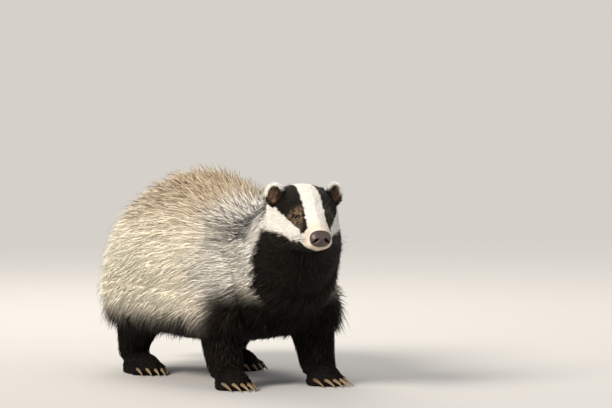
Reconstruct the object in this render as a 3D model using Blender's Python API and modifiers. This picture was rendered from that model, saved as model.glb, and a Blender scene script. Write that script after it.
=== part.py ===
"""A European badger standing still with its head turned a little to its right, at life size.

Metres, +Z up. The badger faces -Y, its right side is -X, and it stands on the plane z = 0.
The body is modelled whole, then parted into its named pieces with thin cuts.
"""

import math

import bmesh
import bpy
import numpy as np
from mathutils import Matrix, Vector
from mathutils.bvhtree import BVHTree

# Driving dimensions
BACK_HEIGHT = 0.342
FLANK_HALF_WIDTH = 0.148
RUMP_Y = 0.316
CHEST_Y = -0.225
NOSE_TIP = Vector((-0.060, -0.428, 0.252))
HEAD_YAW = math.radians(13)
HEAD_PITCH = math.radians(14)
TAIL_RUN = 0.115
EYE_RADIUS = 0.0056
GAP = 0.0003
MERGE = 0.000002
ORIGIN_SHIFT = Vector((0.000, 0.012, 0.0))

# The coat: its depth over the skin, the share of that depth which is a solid core, and its lie
COAT_DEPTH = 0.026
NAPE_COAT_DEPTH = 0.010
TAIL_COAT_DEPTH = 0.016
NAPE_Y = -0.285
WITHERS_Y = -0.190
CORE_SHARE = 0.5
LIE_DROP_SPINE = math.radians(8)
LIE_DROP_FLANK = math.radians(48)

# The locks. Widths and depths are shares of the largest at each section from the root on, before the tip
LOCK_LENGTH = 0.100
LOCK_WIDTH = 0.054
LOCK_DEPTH = 0.0090
LOCK_WIDTHS = (0.62, 1.00, 0.88, 0.52)
LOCK_DEPTHS = (0.80, 1.00, 0.85, 0.55)
LOCK_SINK = 0.0035
LOCK_SPACING = 0.057
LOCK_STEPS = 8
LOCK_BEND = math.radians(22)
SHORTEST_LOCK = 0.045
NECK_LOCK_SIZE = 0.72
SHOULDER_LOCK_SIZE = 0.82
TRUNK_ROWS = 8
RUMP_ROWS = 4
RUMP_ROW_ANGLE = math.radians(20)
RUMP_PIVOT_Y = 0.205
ROW_HEIGHT = 0.190
LOWEST_ROOT = 0.124
FRINGE_HEIGHT = 0.094
FRINGE_HEIGHT_AT_LEGS = 0.126
LEG_REACH = 0.080
CLEAR = 0.004
TAIL_END_CLEAR = 0.016
NAPE_ROW_BEHIND = 0.013
TORSO_ROW_BEHIND = 0.016
ROWS_STAND_UP = 0.6
LOCK_SIZE_RANGE = (0.88, 1.06)
LOCK_TURN = math.radians(6)
TRUNK_SEED = 11
TAIL_SEED = 5

# Rings of locks round the tail: distance past its cut, how many, and their size
TAIL_RINGS = (
    (0.010, 6, 0.66),
    (0.046, 5, 0.60),
)

# How finely the flesh is meshed
HEAD_VOXEL = 0.0024
HEAD_TRIANGLES = 2700
BODY_VOXEL = 0.0030
BODY_TRIANGLES = 2300
SMOOTHING_ROUNDS = 4
RING_SIDES = 28
SHARP_ANGLE = math.radians(50)

# Torso outline: y, top, belt and bottom as shares of the back's height, half width as a share of the flank's
TORSO = (
    (RUMP_Y, 0.570, 0.505, 0.445, 0.10),
    (RUMP_Y - 0.014, 0.700, 0.510, 0.325, 0.45),
    (RUMP_Y - 0.050, 0.870, 0.510, 0.245, 0.76),
    (0.200, 0.942, 0.510, 0.210, 0.95),
    (0.120, 1.000, 0.510, 0.200, 1.00),
    (0.050, 0.975, 0.510, 0.200, 0.97),
    (-0.020, 0.918, 0.515, 0.210, 0.90),
    (-0.080, 0.873, 0.525, 0.230, 0.81),
    (-0.130, 0.840, 0.535, 0.260, 0.72),
    (-0.185, 0.790, 0.555, 0.325, 0.60),
    (CHEST_Y, 0.710, 0.575, 0.445, 0.36),
)
TORSO_POWER_ABOVE = 1.85
TORSO_POWER_BELOW = 2.25

# Neck: y, height of its middle, half width, half height, and how far it has turned to the right
NECK = (
    (-0.060, 0.180, 0.075, 0.085, 0.000),
    (-0.110, 0.195, 0.096, 0.093, 0.000),
    (-0.150, 0.206, 0.100, 0.094, -0.001),
    (-0.185, 0.215, 0.098, 0.093, -0.004),
    (-0.232, 0.236, 0.087, 0.084, -0.012),
    (-0.272, 0.260, 0.074, 0.071, -0.022),
    (-0.308, 0.279, 0.057, 0.054, -0.031),
)

# Head outline in its own frame: distance behind the nose tip, top, belt, bottom and half width
HEAD = (
    (0.007, 0.0100, 0.000, -0.0150, 0.0120),
    (0.014, 0.0160, 0.000, -0.0200, 0.0180),
    (0.030, 0.0220, 0.000, -0.0265, 0.0225),
    (0.048, 0.0285, 0.000, -0.0325, 0.0270),
    (0.066, 0.0385, 0.000, -0.0380, 0.0350),
    (0.086, 0.0500, 0.001, -0.0430, 0.0455),
    (0.108, 0.0565, 0.003, -0.0470, 0.0525),
    (0.130, 0.0570, 0.005, -0.0490, 0.0550),
    (0.152, 0.0520, 0.004, -0.0490, 0.0530),
    (0.174, 0.0400, 0.002, -0.0400, 0.0430),
)

# Swellings of the head, each x, distance behind the nose tip, height, and three radii
HEAD_SWELLINGS = (
    (0.0105, 0.024, -0.0070, 0.0125, 0.0180, 0.0120),
    (0.0190, 0.078, 0.0275, 0.0130, 0.0240, 0.0095),
    (0.0330, 0.116, -0.0140, 0.0240, 0.0380, 0.0310),
)
EYE_BEHIND_NOSE = 0.064
EYE_APART = 0.0275
EYE_HEIGHT = 0.0215
EYE_SINK = 0.0034
EYE_GAZE = Vector((0.72, -0.62, 0.30))
LID_HALF_WIDTH = 0.0058
LID_HALF_HEIGHT = 0.0042
LID_RADIUS = 0.0017
LID_OVER_EYE = 0.0010
LID_STEPS = 14
EAR_BEHIND_NOSE = 0.127
EAR_APART = 0.0470
EAR_HEIGHT = 0.0410
EAR_HALF_WIDTH = 0.0158
EAR_HALF_HEIGHT = 0.0190
EAR_HALF_DEPTH = 0.0085
EAR_WALL = 0.0028
EAR_TURN = math.radians(28)
EAR_TILT = math.radians(12)
EAR_HOLLOW_FORWARD = 0.72
EAR_HOLLOW_RAISED = 0.0015
EAR_SEGMENTS = 14
NOSE_CENTRE = Vector((0.0, 0.0112, 0.0010))
NOSE_RADII = (0.0158, 0.0112, 0.0132)
NOSE_SEGMENTS = 16
NOSTRIL_APART = 0.0078
NOSTRIL_RADIUS = 0.0026
NOSTRIL_DEPTH = 0.0052
SLIT_RADIUS = 0.0013
SLIT_STEP = 0.0016
SLIT_CURVE = 26.0
GROOVE_RADIUS = 0.0007
GROOVE_STEP = 0.0030
GROOVE_CURVE = 62.0
MOUTH_CENTRE = 0.050
MOUTH_HEIGHT = -0.0195
MOUTH_RISE = 0.0045
MOUTH_ANGLE = math.radians(92)
MOUTH_RADIUS = 0.0010
MOUTH_STEPS = 13
LIP_RADIUS = 0.0020

# Legs: x, y, z, half width and half depth of each section, from the body down, on the left side
FORE_LEG = (
    (0.046, -0.112, 0.205, 0.032, 0.046),
    (0.065, -0.112, 0.158, 0.041, 0.055),
    (0.078, -0.114, 0.114, 0.040, 0.048),
    (0.083, -0.122, 0.072, 0.034, 0.038),
    (0.083, -0.132, 0.040, 0.030, 0.033),
    (0.083, -0.140, 0.020, 0.029, 0.030),
)
HIND_LEG = (
    (0.060, 0.180, 0.205, 0.048, 0.076),
    (0.079, 0.173, 0.154, 0.051, 0.076),
    (0.090, 0.168, 0.114, 0.045, 0.061),
    (0.093, 0.184, 0.076, 0.034, 0.042),
    (0.091, 0.200, 0.046, 0.027, 0.031),
    (0.090, 0.199, 0.022, 0.025, 0.030),
)
HEAD_CUT = Vector((0.0, 0.152, -0.020))
HEAD_CUT_NORMAL = Vector((0.0, 1.0, -0.22))
NECK_SEAM = Vector((0.0, -0.205, 0.215))
NECK_SEAM_NORMAL = Vector((0.0, -0.93, 0.37))
LEG_CUT_DROP = 0.006
LEG_CUT_HALF_SIZE = 0.080
PAW_CUT_HEIGHT = 0.036
FORE_HEEL_Y = -0.137
FORE_TOE_Y = -0.180
HIND_HEEL_Y = 0.207
HIND_TOE_Y = 0.130
FORE_PAW_X = 0.083
HIND_PAW_X = 0.090
PAW_HALF_WIDTH = 0.0310
PAW_HEIGHT = 0.028
PAW_MIDDLE_HEIGHT = 0.008
TOE_RADIUS = 0.0080
TOE_SHAPE = (0.92, 2.10, 1.25)
TOES = 5
FORE_CLAW_LENGTH = 0.026
HIND_CLAW_LENGTH = 0.014
CLAW_RADIUS = 0.0036
CLAW_SIDES = 5
CLAW_CLEARANCE = 0.0010

# Tail: share of its run behind its root, height, half width and half height
TAIL_ROOT = Vector((0.0, 0.285, 0.215))
TAIL_CUT = Vector((0.0, 0.057, -0.049))
TAIL_WAY = Vector((0.0, 0.67, -0.745))
TAIL = (
    (-0.30, 0.034, 0.034, 0.030),
    (0.00, 0.000, 0.040, 0.033),
    (0.25, -0.018, 0.044, 0.035),
    (0.55, -0.056, 0.043, 0.033),
    (0.82, -0.100, 0.032, 0.025),
    (1.00, -0.136, 0.008, 0.008),
)

FUR_PALE = (0.62, 0.57, 0.49)
FUR_GREY = (0.34, 0.32, 0.29)
FUR_WHITE = (0.85, 0.83, 0.78)
FUR_BLACK = (0.025, 0.022, 0.020)
NOSE_LEATHER = (0.05, 0.038, 0.036)
EYE_DARK = (0.008, 0.006, 0.005)
HORN = (0.36, 0.30, 0.22)


def clear_scene():
    for obj in list(bpy.data.objects):
        bpy.data.objects.remove(obj, do_unlink=True)
    for name in ("badger", "cutters"):
        bpy.context.scene.collection.children.link(bpy.data.collections.new(name))


def finish(name, colour, roughness):
    """A material with one colour."""
    made = bpy.data.materials.new(name)
    made.use_nodes = True
    shader = made.node_tree.nodes["Principled BSDF"]
    shader.inputs["Base Color"].default_value = (*colour, 1.0)
    shader.inputs["Roughness"].default_value = roughness
    shader.inputs["Metallic"].default_value = 0.0
    return made


def new_object(name, bm):
    """A helper object from a bmesh, hidden until it is made a piece of the badger."""
    mesh = bpy.data.meshes.new(name)
    bm.to_mesh(mesh)
    bm.free()
    obj = bpy.data.objects.new(name, mesh)
    bpy.data.collections["cutters"].objects.link(obj)
    obj.hide_render = True
    obj.display_type = "WIRE"
    return obj


def apply_modifiers(obj):
    """The object's mesh becomes what its modifiers make of it."""
    bpy.context.view_layer.update()
    graph = bpy.context.evaluated_depsgraph_get()
    made = bpy.data.meshes.new_from_object(obj.evaluated_get(graph))
    obj.modifiers.clear()
    obj.data = made
    return obj


def remove(*objects):
    for obj in objects:
        bpy.data.objects.remove(obj, do_unlink=True)


def boolean(obj, others, operation, solver="EXACT"):
    """Joins with a list of closed objects, or cuts them away. They are then removed."""
    group = bpy.data.collections.new("joined")
    bpy.context.scene.collection.children.link(group)
    for each in others:
        group.objects.link(each)
    modifier = obj.modifiers.new(operation.title(), "BOOLEAN")
    modifier.operation = operation
    modifier.solver = solver
    modifier.operand_type = "COLLECTION"
    modifier.collection = group
    apply_modifiers(obj)
    remove(*others)
    bpy.data.collections.remove(group)
    return obj


def grown(obj, by=GAP):
    """A helper copy of a round piece, larger by this much all over."""
    bm = bmesh.new()
    bm.from_mesh(obj.data)
    bm.normal_update()
    for vertex in bm.verts:
        vertex.co += vertex.normal * by
    return new_object("grown_" + obj.name, bm)


def islands(bm):
    """The separate surfaces of a bmesh, each a set of faces. Where two only touch along an edge they part."""
    left = set(bm.faces)
    found = []
    while left:
        front = [left.pop()]
        island = set(front)
        while front:
            face = front.pop()
            for edge in face.edges:
                if len(edge.link_faces) != 2:
                    continue
                for near in edge.link_faces:
                    if near in left:
                        left.discard(near)
                        island.add(near)
                        front.append(near)
        found.append(island)
    return found


def volume_of(faces):
    """The volume that a closed surface of triangles holds."""
    corners = [[v.co for v in face.verts] for face in faces]
    return sum(a.dot(b.cross(c)) for a, b, c in corners) / 6


def middle_of(faces):
    """The middle of a set of faces."""
    return sum((face.calc_center_median() for face in faces), Vector()) / len(faces)


def triangulated(obj):
    """A bmesh of the object, in triangles and with its doubled points merged."""
    bm = bmesh.new()
    bm.from_mesh(obj.data)
    bmesh.ops.triangulate(bm, faces=bm.faces[:])
    bmesh.ops.remove_doubles(bm, verts=bm.verts[:], dist=MERGE)
    return bm


def keep_largest(obj):
    """Drops scraps and sealed hollows: the closed surface with the most volume stays."""
    bm = triangulated(obj)
    parts = sorted(islands(bm), key=volume_of)
    dropped = [face for part in parts[:-1] for face in part]
    bmesh.ops.delete(bm, geom=dropped, context="FACES")
    bm.to_mesh(obj.data)
    bm.free()
    return obj


def smooth_rows(rows, steps):
    """A Catmull-Rom curve through rows of numbers, with this many steps from one row to the next."""
    rows = np.array(rows, float)
    ends = np.vstack([2 * rows[0] - rows[1], rows, 2 * rows[-1] - rows[-2]])
    found = []
    for before, a, b, after in zip(ends, ends[1:], ends[2:], ends[3:]):
        for t in np.arange(steps) / steps:
            found.append(
                0.5 * (2 * a + (b - before) * t + (2 * before - 5 * a + 4 * b - after) * t**2
                       + (3 * a - before - 3 * b + after) * t**3)
            )
    return np.array(found + [rows[-1]])


def signed_power(value, power):
    return math.copysign(abs(value) ** power, value)


def ring(centre, side, up, half_width, half_up, half_down, power_up=2.0, power_down=2.0, sides=RING_SIDES):
    """Points of a section with its own depth and fullness above and below its belt."""
    points = []
    for k in range(sides):
        angle = 2 * math.pi * k / sides
        above = math.sin(angle) > 0
        power = power_up if above else power_down
        across = half_width * signed_power(math.cos(angle), 2 / power)
        along = (half_up if above else half_down) * signed_power(math.sin(angle), 2 / power)
        points.append(centre + side * across + up * along)
    return points


def loft(name, rings, closed=False, tip=None):
    """A skin over sections with as many points each, closed at each end's middle or at its tip."""
    bm = bmesh.new()
    loops = [[bm.verts.new(p) for p in points] for points in rings]
    pairs = list(zip(loops, loops[1:])) + ([(loops[-1], loops[0])] if closed else [])
    for one, two in pairs:
        for k in range(len(one)):
            after = (k + 1) % len(one)
            bm.faces.new((one[k], one[after], two[after], two[k]))
    for loop, end in () if closed else ((loops[0], None), (loops[-1], tip)):
        middle = bm.verts.new(end or sum((v.co for v in loop), Vector()) / len(loop))
        for k in range(len(loop)):
            bm.faces.new((loop[k], loop[(k + 1) % len(loop)], middle))
    bmesh.ops.recalc_face_normals(bm, faces=bm.faces[:])
    return new_object(name, bm)


def tube(name, points, radii, up, closed=False, sides=8, flatness=1.0):
    """A tube along a line of points. Flatness is its depth along up as a share of its width."""
    rings = []
    count = len(points)
    for k, point in enumerate(points):
        before = points[k - 1] if closed or k else point
        after = points[(k + 1) % count] if closed or k + 1 < count else point
        ahead = (after - before).normalized()
        side = ahead.cross(up).normalized()
        level = side.cross(ahead)
        deep = radii[k] * flatness
        rings.append(ring(point, side, level, radii[k], deep, deep, sides=sides))
    return loft(name, rings, closed)


def limb(name, rows, sides=RING_SIDES):
    """A smooth loft along a line of rows, each x, y, z, half width and half depth."""
    found = smooth_rows(rows, 4)
    centres = [Vector(row[:3]) for row in found]
    rings = []
    for k, row in enumerate(found):
        ahead = centres[min(k + 1, len(centres) - 1)] - centres[max(k - 1, 0)]
        up = Vector((1, 0, 0)).cross(ahead).normalized()
        side = ahead.cross(up).normalized()
        rings.append(ring(centres[k], side, up, row[3], row[4], row[4], sides=sides))
    return loft(name, rings)


def ellipsoid(name, centre, radii, segments=20, matrix=Matrix.Identity(4)):
    bm = bmesh.new()
    bmesh.ops.create_uvsphere(bm, u_segments=segments, v_segments=segments // 2, radius=1.0)
    bmesh.ops.transform(bm, matrix=matrix @ Matrix.Translation(centre) @ Matrix.Diagonal((*radii, 1)),
                        verts=bm.verts[:])
    return new_object(name, bm)


def slab(centre, normal, half_size):
    """A square cutter as thin as the gap, with its flat sides facing along the normal."""
    bm = bmesh.new()
    bmesh.ops.create_cube(bm, size=1.0)
    turn = Vector(normal).to_track_quat("Z", "Y").to_matrix().to_4x4()
    size = Matrix.Diagonal((2 * half_size, 2 * half_size, GAP, 1))
    bmesh.ops.transform(bm, matrix=Matrix.Translation(centre) @ turn @ size, verts=bm.verts[:])
    return new_object("slab", bm)


def surface_tree(obj):
    """What finds places on the object's surface."""
    corners = [v.co for v in obj.data.vertices]
    return BVHTree.FromPolygons(corners, [tuple(face.vertices) for face in obj.data.polygons])


def head_matrix():
    """From the head's own frame, with the nose tip at its origin and facing -Y, to the badger's."""
    turn = Matrix.Rotation(-HEAD_YAW, 4, "Z") @ Matrix.Rotation(HEAD_PITCH, 4, "X")
    return Matrix.Translation(NOSE_TIP) @ turn


def torso_form():
    rows = [
        (0.0, y, belt * BACK_HEIGHT, width * FLANK_HALF_WIDTH, (top - belt) * BACK_HEIGHT,
         (belt - bottom) * BACK_HEIGHT)
        for y, top, belt, bottom, width in TORSO
    ]
    rings = []
    for row in smooth_rows(rows, 3):
        rings.append(ring(Vector(row[:3]), Vector((1, 0, 0)), Vector((0, 0, 1)), *row[3:6],
                          TORSO_POWER_ABOVE, TORSO_POWER_BELOW, 40))
    return loft("torso_form", rings)


def neck_form():
    return limb("neck_form", [(x, y, z, wide, high) for y, z, wide, high, x in NECK])


def head_forms():
    """The head's outline and its swellings on both sides."""
    rows = [(0.0, d, belt, w, top - belt, belt - bottom) for d, top, belt, bottom, w in HEAD]
    rings = []
    for row in smooth_rows(rows, 3):
        rings.append(ring(Vector(row[:3]), Vector((1, 0, 0)), Vector((0, 0, 1)), *row[3:6], 2.15, 2.2, 32))
    outline = loft("head_form", rings)
    outline.data.transform(head_matrix())
    forms = [outline]
    for side in (-1, 1):
        for x, d, z, *radii in HEAD_SWELLINGS:
            forms.append(ellipsoid("swelling", (side * x, d, z), radii, 20, head_matrix()))
    return forms


def toe_place(toe, toe_y, paw_x, side):
    """The middle of a toe. The middle ones reach furthest, and the inner one least."""
    across = (toe - (TOES - 1) / 2) / ((TOES - 1) / 2)
    back = 0.013 * across**2 + (0.006 if across * side < -0.9 else 0.0)
    return Vector((side * paw_x + across * PAW_HALF_WIDTH * 0.80, toe_y + back, TOE_RADIUS * 0.92))


def leg_forms(rows, heel_y, toe_y, paw_x, side):
    """A leg and its paw: the shank, the foot's body and five toes."""
    forms = [limb("leg_form", [(side * x, y, z, w, d) for x, y, z, w, d in rows], 20)]
    middle = (heel_y + toe_y) / 2
    half = abs(heel_y - toe_y) / 2 + 0.016
    foot = (PAW_HALF_WIDTH * 0.88, half, PAW_HEIGHT)
    forms.append(ellipsoid("paw_form", (side * paw_x, middle, PAW_MIDDLE_HEIGHT), foot))
    for toe in range(TOES):
        centre = toe_place(toe, toe_y, paw_x, side)
        forms.append(ellipsoid("toe_form", centre, Vector(TOE_SHAPE) * TOE_RADIUS, 14))
    return forms


def tail_form():
    rows = []
    for share, drop, half_width, half_height in TAIL:
        rows.append((0.0, TAIL_ROOT.y + share * TAIL_RUN, TAIL_ROOT.z + drop, half_width, half_height))
    return limb("tail_form", rows, 20)


def flat_soles(obj):
    """Cuts the feet off level at the ground."""
    bm = bmesh.new()
    bm.from_mesh(obj.data)
    cut = bmesh.ops.bisect_plane(bm, geom=bm.verts[:] + bm.edges[:] + bm.faces[:], dist=0.00001,
                                 plane_co=(0, 0, 0), plane_no=(0, 0, -1), clear_outer=True)
    rim = [e for e in cut["geom_cut"] if isinstance(e, bmesh.types.BMEdge)]
    bmesh.ops.holes_fill(bm, edges=rim, sides=0)
    bmesh.ops.triangulate(bm, faces=bm.faces[:])
    bm.to_mesh(obj.data)
    bm.free()
    return obj


def coat_depth(place, normal):
    """How deep the long coat is: shorter towards the head, and none on the underside."""
    ahead = min(1.0, max(0.0, (place.y - WITHERS_Y) / (NAPE_Y - WITHERS_Y)))
    under = min(1.0, max(0.0, (-normal.z - 0.30) / 0.45))
    return (COAT_DEPTH + (NAPE_COAT_DEPTH - COAT_DEPTH) * ahead) * (1.0 - under)


def tail_coat_depth(place, normal):
    """The tail's coat is as deep all round."""
    return TAIL_COAT_DEPTH


def core(obj, depth):
    """Draws a form in from the coat's tips to the core that its locks lie on."""
    bm = bmesh.new()
    bm.from_mesh(obj.data)
    bm.normal_update()
    for vertex in bm.verts:
        vertex.co -= vertex.normal * depth(vertex.co, vertex.normal) * (1 - CORE_SHARE)
    bm.to_mesh(obj.data)
    bm.free()
    return obj


def trunk_forms():
    """The cores of torso and neck."""
    return [core(torso_form(), coat_depth), core(neck_form(), coat_depth)]


def flesh(name, forms, voxel):
    """Overlapping forms joined under one smooth skin."""
    bm = bmesh.new()
    for form in forms:
        bm.from_mesh(form.data)
    remove(*forms)
    whole = new_object(name, bm)
    remesh = whole.modifiers.new("Skin", "REMESH")
    remesh.mode = "VOXEL"
    remesh.voxel_size = voxel
    smooth = whole.modifiers.new("Smooth", "SMOOTH")
    smooth.factor = 0.5
    smooth.iterations = SMOOTHING_ROUNDS
    return apply_modifiers(whole)


def reduced(obj, triangles):
    """The same surface in about this many triangles."""
    reduce = obj.modifiers.new("Reduce", "DECIMATE")
    reduce.ratio = triangles / (2 * len(obj.data.polygons))
    return apply_modifiers(obj)


def body_flesh():
    """The whole animal's flesh."""
    forms = trunk_forms() + [core(tail_form(), tail_coat_depth)] + head_forms()
    for side in (-1, 1):
        forms += leg_forms(FORE_LEG, FORE_HEEL_Y, FORE_TOE_Y, FORE_PAW_X, side)
        forms += leg_forms(HIND_LEG, HIND_HEEL_Y, HIND_TOE_Y, HIND_PAW_X, side)
    return flesh("body_flesh", forms, BODY_VOXEL)


def leg_cut(rows, side, tree):
    """A slanted cut just under the torso's round underside, where the leg comes out of it."""
    x, y, z = rows[1][:3]
    inside = Vector((side * x * 0.5, y, z + 0.03))
    place, out, _, _ = tree.ray_cast(inside, Vector((side * 0.35, 0, -1)).normalized())
    return slab(place + LEG_CUT_DROP * out, out, LEG_CUT_HALF_SIZE)


def head_cut():
    """The cut between the head and the neck, behind the ears."""
    face = head_matrix()
    return slab(face @ HEAD_CUT, face.to_3x3() @ HEAD_CUT_NORMAL, 0.130)


def parted(whole, cuts, markers):
    """Cuts flesh with thin slabs, and names each piece by the marker nearest to its middle."""
    boolean(whole, cuts, "DIFFERENCE")
    bm = triangulated(whole)
    largest = {}
    for island in islands(bm):
        middle = middle_of(island)
        name = min(markers, key=lambda each: (markers[each] - middle).length)
        if name not in largest or volume_of(island) > volume_of(largest[name]):
            largest[name] = island
    pieces = {}
    bm.faces.index_update()
    for name, island in largest.items():
        kept = {face.index for face in island}
        piece = bm.copy()
        others = [face for face in piece.faces if face.index not in kept]
        bmesh.ops.delete(piece, geom=others, context="FACES")
        pieces[name] = new_object(name, piece)
    bm.free()
    remove(whole)
    return pieces


def lie_on_trunk(place, normal):
    """Which way the coat lies: back over the spine, back and down on the flanks and down round the rump."""
    out = min(1.0, abs(place.x) / FLANK_HALF_WIDTH)
    drop = LIE_DROP_SPINE + (LIE_DROP_FLANK - LIE_DROP_SPINE) * out**1.5
    way = Vector((0.0, math.cos(drop), -math.sin(drop)))
    return (way - normal * way.dot(normal)).normalized()


def lie_on_tail(place, normal):
    """The tail's coat lies towards its tip."""
    return (TAIL_WAY - normal * TAIL_WAY.dot(normal)).normalized()


def path_over(tree, lie, place, length, turn, steps):
    """Places along the skin from a root on, each with the skin's normal and the way the coat lies there."""
    found = []
    for k in range(steps + 1):
        near, normal, _, _ = tree.find_nearest(place)
        way = Matrix.Rotation(turn * (1 + k / steps), 3, normal) @ lie(near, normal)
        found.append((near, normal, way))
        place = near + way * length / steps
    return found


def crosses_itself(obj):
    """Whether two faces with no corner in common cut each other."""
    faces = [set(face.vertices) for face in obj.data.polygons]
    tree = surface_tree(obj)
    return any(not faces[a] & faces[b] for a, b in tree.overlap(tree))


def lock(tree, lie, depth, place, size, turn, allowed):
    """A flat lock, rooted in the skin, which lies back over it to a point at the coat's surface."""
    length = LOCK_LENGTH * size
    covered = 0
    path = path_over(tree, lie, place, length, turn, LOCK_STEPS)
    for (_, before, _), (near, normal, _) in zip(path, path[1:]):
        if not allowed(near) or before.angle(normal) > LOCK_BEND:
            break
        covered += 1
    length *= covered / LOCK_STEPS
    if length < SHORTEST_LOCK * size:
        return None
    rings = []
    path = path_over(tree, lie, place, length, turn, len(LOCK_WIDTHS))
    for k, (near, normal, way) in enumerate(path):
        share = k / len(LOCK_WIDTHS)
        lift = max(LOCK_SINK, depth(near, normal) * CORE_SHARE)
        middle = near + normal * (lift * share - LOCK_SINK * (1 - share))
        if k == len(LOCK_WIDTHS):
            break
        side = way.cross(normal) * LOCK_WIDTH / 2 * size * LOCK_WIDTHS[k]
        rise = normal * LOCK_DEPTH / 2 * math.sqrt(size) * LOCK_DEPTHS[k]
        rings.append([middle + side, middle + rise, middle - side, middle - rise])
    made = loft("lock", rings, tip=middle)
    if crosses_itself(made):
        remove(made)
        return None
    return made


def row_of_roots(tree, middle, ahead, tilt, spacing, offset):
    """Roots round a row, evenly spaced down both sides from its top, on a plane or a cone."""
    across = ahead.cross(Vector((0, 0, 1))).normalized()
    up = across.cross(ahead).normalized()
    found = []
    for side in (-1, 1):
        covered = 0.0
        wanted = offset * spacing if side > 0 or offset else spacing
        before = None
        for degrees in range(0, 180, 2):
            angle = math.radians(degrees)
            round_it = up * math.cos(angle) + across * side * math.sin(angle)
            place, _, _, _ = tree.ray_cast(middle, round_it * math.cos(tilt) + ahead * math.sin(tilt))
            covered += (place - before).length if before else 0.0
            before = place
            if place.z < LOWEST_ROOT:
                break
            if covered >= wanted:
                found.append(place)
                wanted += spacing
    return found


def behind(place, centre, way):
    """How far a place lies past a cut, the way the coat runs."""
    return (place - centre).dot(way.normalized())


def on_torso(place):
    """Where a lock of the torso may lie: behind the neck, clear of the tail's end and above the legs."""
    near_tail = abs(place.x) < LOCK_WIDTH and place.y > RUMP_Y
    at_leg = min(abs(place.y - rows[2][1]) for rows in (FORE_LEG, HIND_LEG)) < LEG_REACH
    return (
        behind(place, NECK_SEAM, -NECK_SEAM_NORMAL) > CLEAR
        and not (near_tail and behind(place, TAIL_ROOT + TAIL_CUT, TAIL_WAY) > -CLEAR)
        and place.z > (FRINGE_HEIGHT_AT_LEGS if at_leg else FRINGE_HEIGHT)
    )


def on_neck(root):
    """Where a lock of the neck may lie: up to the torso, or over it from a root that is far enough away."""
    face = head_matrix()
    passes = behind(root, NECK_SEAM, -NECK_SEAM_NORMAL) < -0.5 * NECK_LOCK_SIZE * LOCK_LENGTH

    def allowed(place):
        return (
            behind(place, face @ HEAD_CUT, face.to_3x3() @ HEAD_CUT_NORMAL) > CLEAR
            and (passes or behind(place, NECK_SEAM, -NECK_SEAM_NORMAL) < -CLEAR / 2)
        )
    return allowed


def trunk_locks(tree):
    """Rows of locks in a brick pattern over neck, back, flanks and rump, for the neck and for the torso."""
    random = np.random.default_rng(TRUNK_SEED)
    found = {"neck": [], "torso": []}
    face = head_matrix()
    nape = (face @ (HEAD_CUT + HEAD_CUT_NORMAL * NAPE_ROW_BEHIND), face.to_3x3() @ HEAD_CUT_NORMAL)
    seam = (Vector((0, NECK_SEAM.y + TORSO_ROW_BEHIND, ROW_HEIGHT)), -NECK_SEAM_NORMAL)
    rows = []
    for share in (0.0, 0.5):
        rows.append(("neck", nape[0].lerp(seam[0], share), nape[1].lerp(seam[1], share), 0.0, NECK_LOCK_SIZE))
    for k in range(TRUNK_ROWS):
        share = k / (TRUNK_ROWS - 1)
        middle = seam[0].lerp(Vector((0, RUMP_PIVOT_Y, ROW_HEIGHT)), share)
        size = SHOULDER_LOCK_SIZE if k == 0 else 1.0
        rows.append(("torso", middle, seam[1].lerp(Vector((0, 1, 0)), share**ROWS_STAND_UP), 0.0, size))
    for k in range(RUMP_ROWS):
        rows.append(("torso", middle, Vector((0, 1, 0)), RUMP_ROW_ANGLE * (k + 1), 1.0))
    for k, (name, middle, ahead, tilt, size) in enumerate(rows):
        for place in row_of_roots(tree, middle, ahead.normalized(), tilt, LOCK_SPACING * size, 0.5 * (k % 2)):
            scale = size * random.uniform(*LOCK_SIZE_RANGE)
            turn = random.uniform(-LOCK_TURN, LOCK_TURN)
            allowed = on_neck(place) if name == "neck" else on_torso
            if allowed(place):
                found[name].append(lock(tree, lie_on_trunk, coat_depth, place, scale, turn, allowed))
    return {name: [each for each in locks if each] for name, locks in found.items()}


def tail_locks(tree):
    """Rings of locks round the tail, which end at its tip."""
    random = np.random.default_rng(TAIL_SEED)
    found = []
    along = TAIL_WAY.normalized()
    tip = TAIL_ROOT + Vector((0, TAIL_RUN, TAIL[-1][1]))
    across = Vector((1, 0, 0))

    def on_tail(place):
        past_cut = behind(place, TAIL_ROOT + TAIL_CUT, along) > CLEAR
        return past_cut and behind(place, tip, along) < -TAIL_END_CLEAR

    for k, (far, count, size) in enumerate(TAIL_RINGS):
        middle = TAIL_ROOT + TAIL_CUT + along * far
        for side in range(count):
            angle = 2 * math.pi * (side + 0.5 * (k % 2)) / count
            out = across * math.cos(angle) + across.cross(along) * math.sin(angle)
            place, _, _, _ = tree.ray_cast(middle, out)
            scale = size * random.uniform(*LOCK_SIZE_RANGE)
            turn = random.uniform(-LOCK_TURN, LOCK_TURN)
            found.append(lock(tree, lie_on_tail, tail_coat_depth, place, scale, turn, on_tail))
    return [each for each in found if each]


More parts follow.
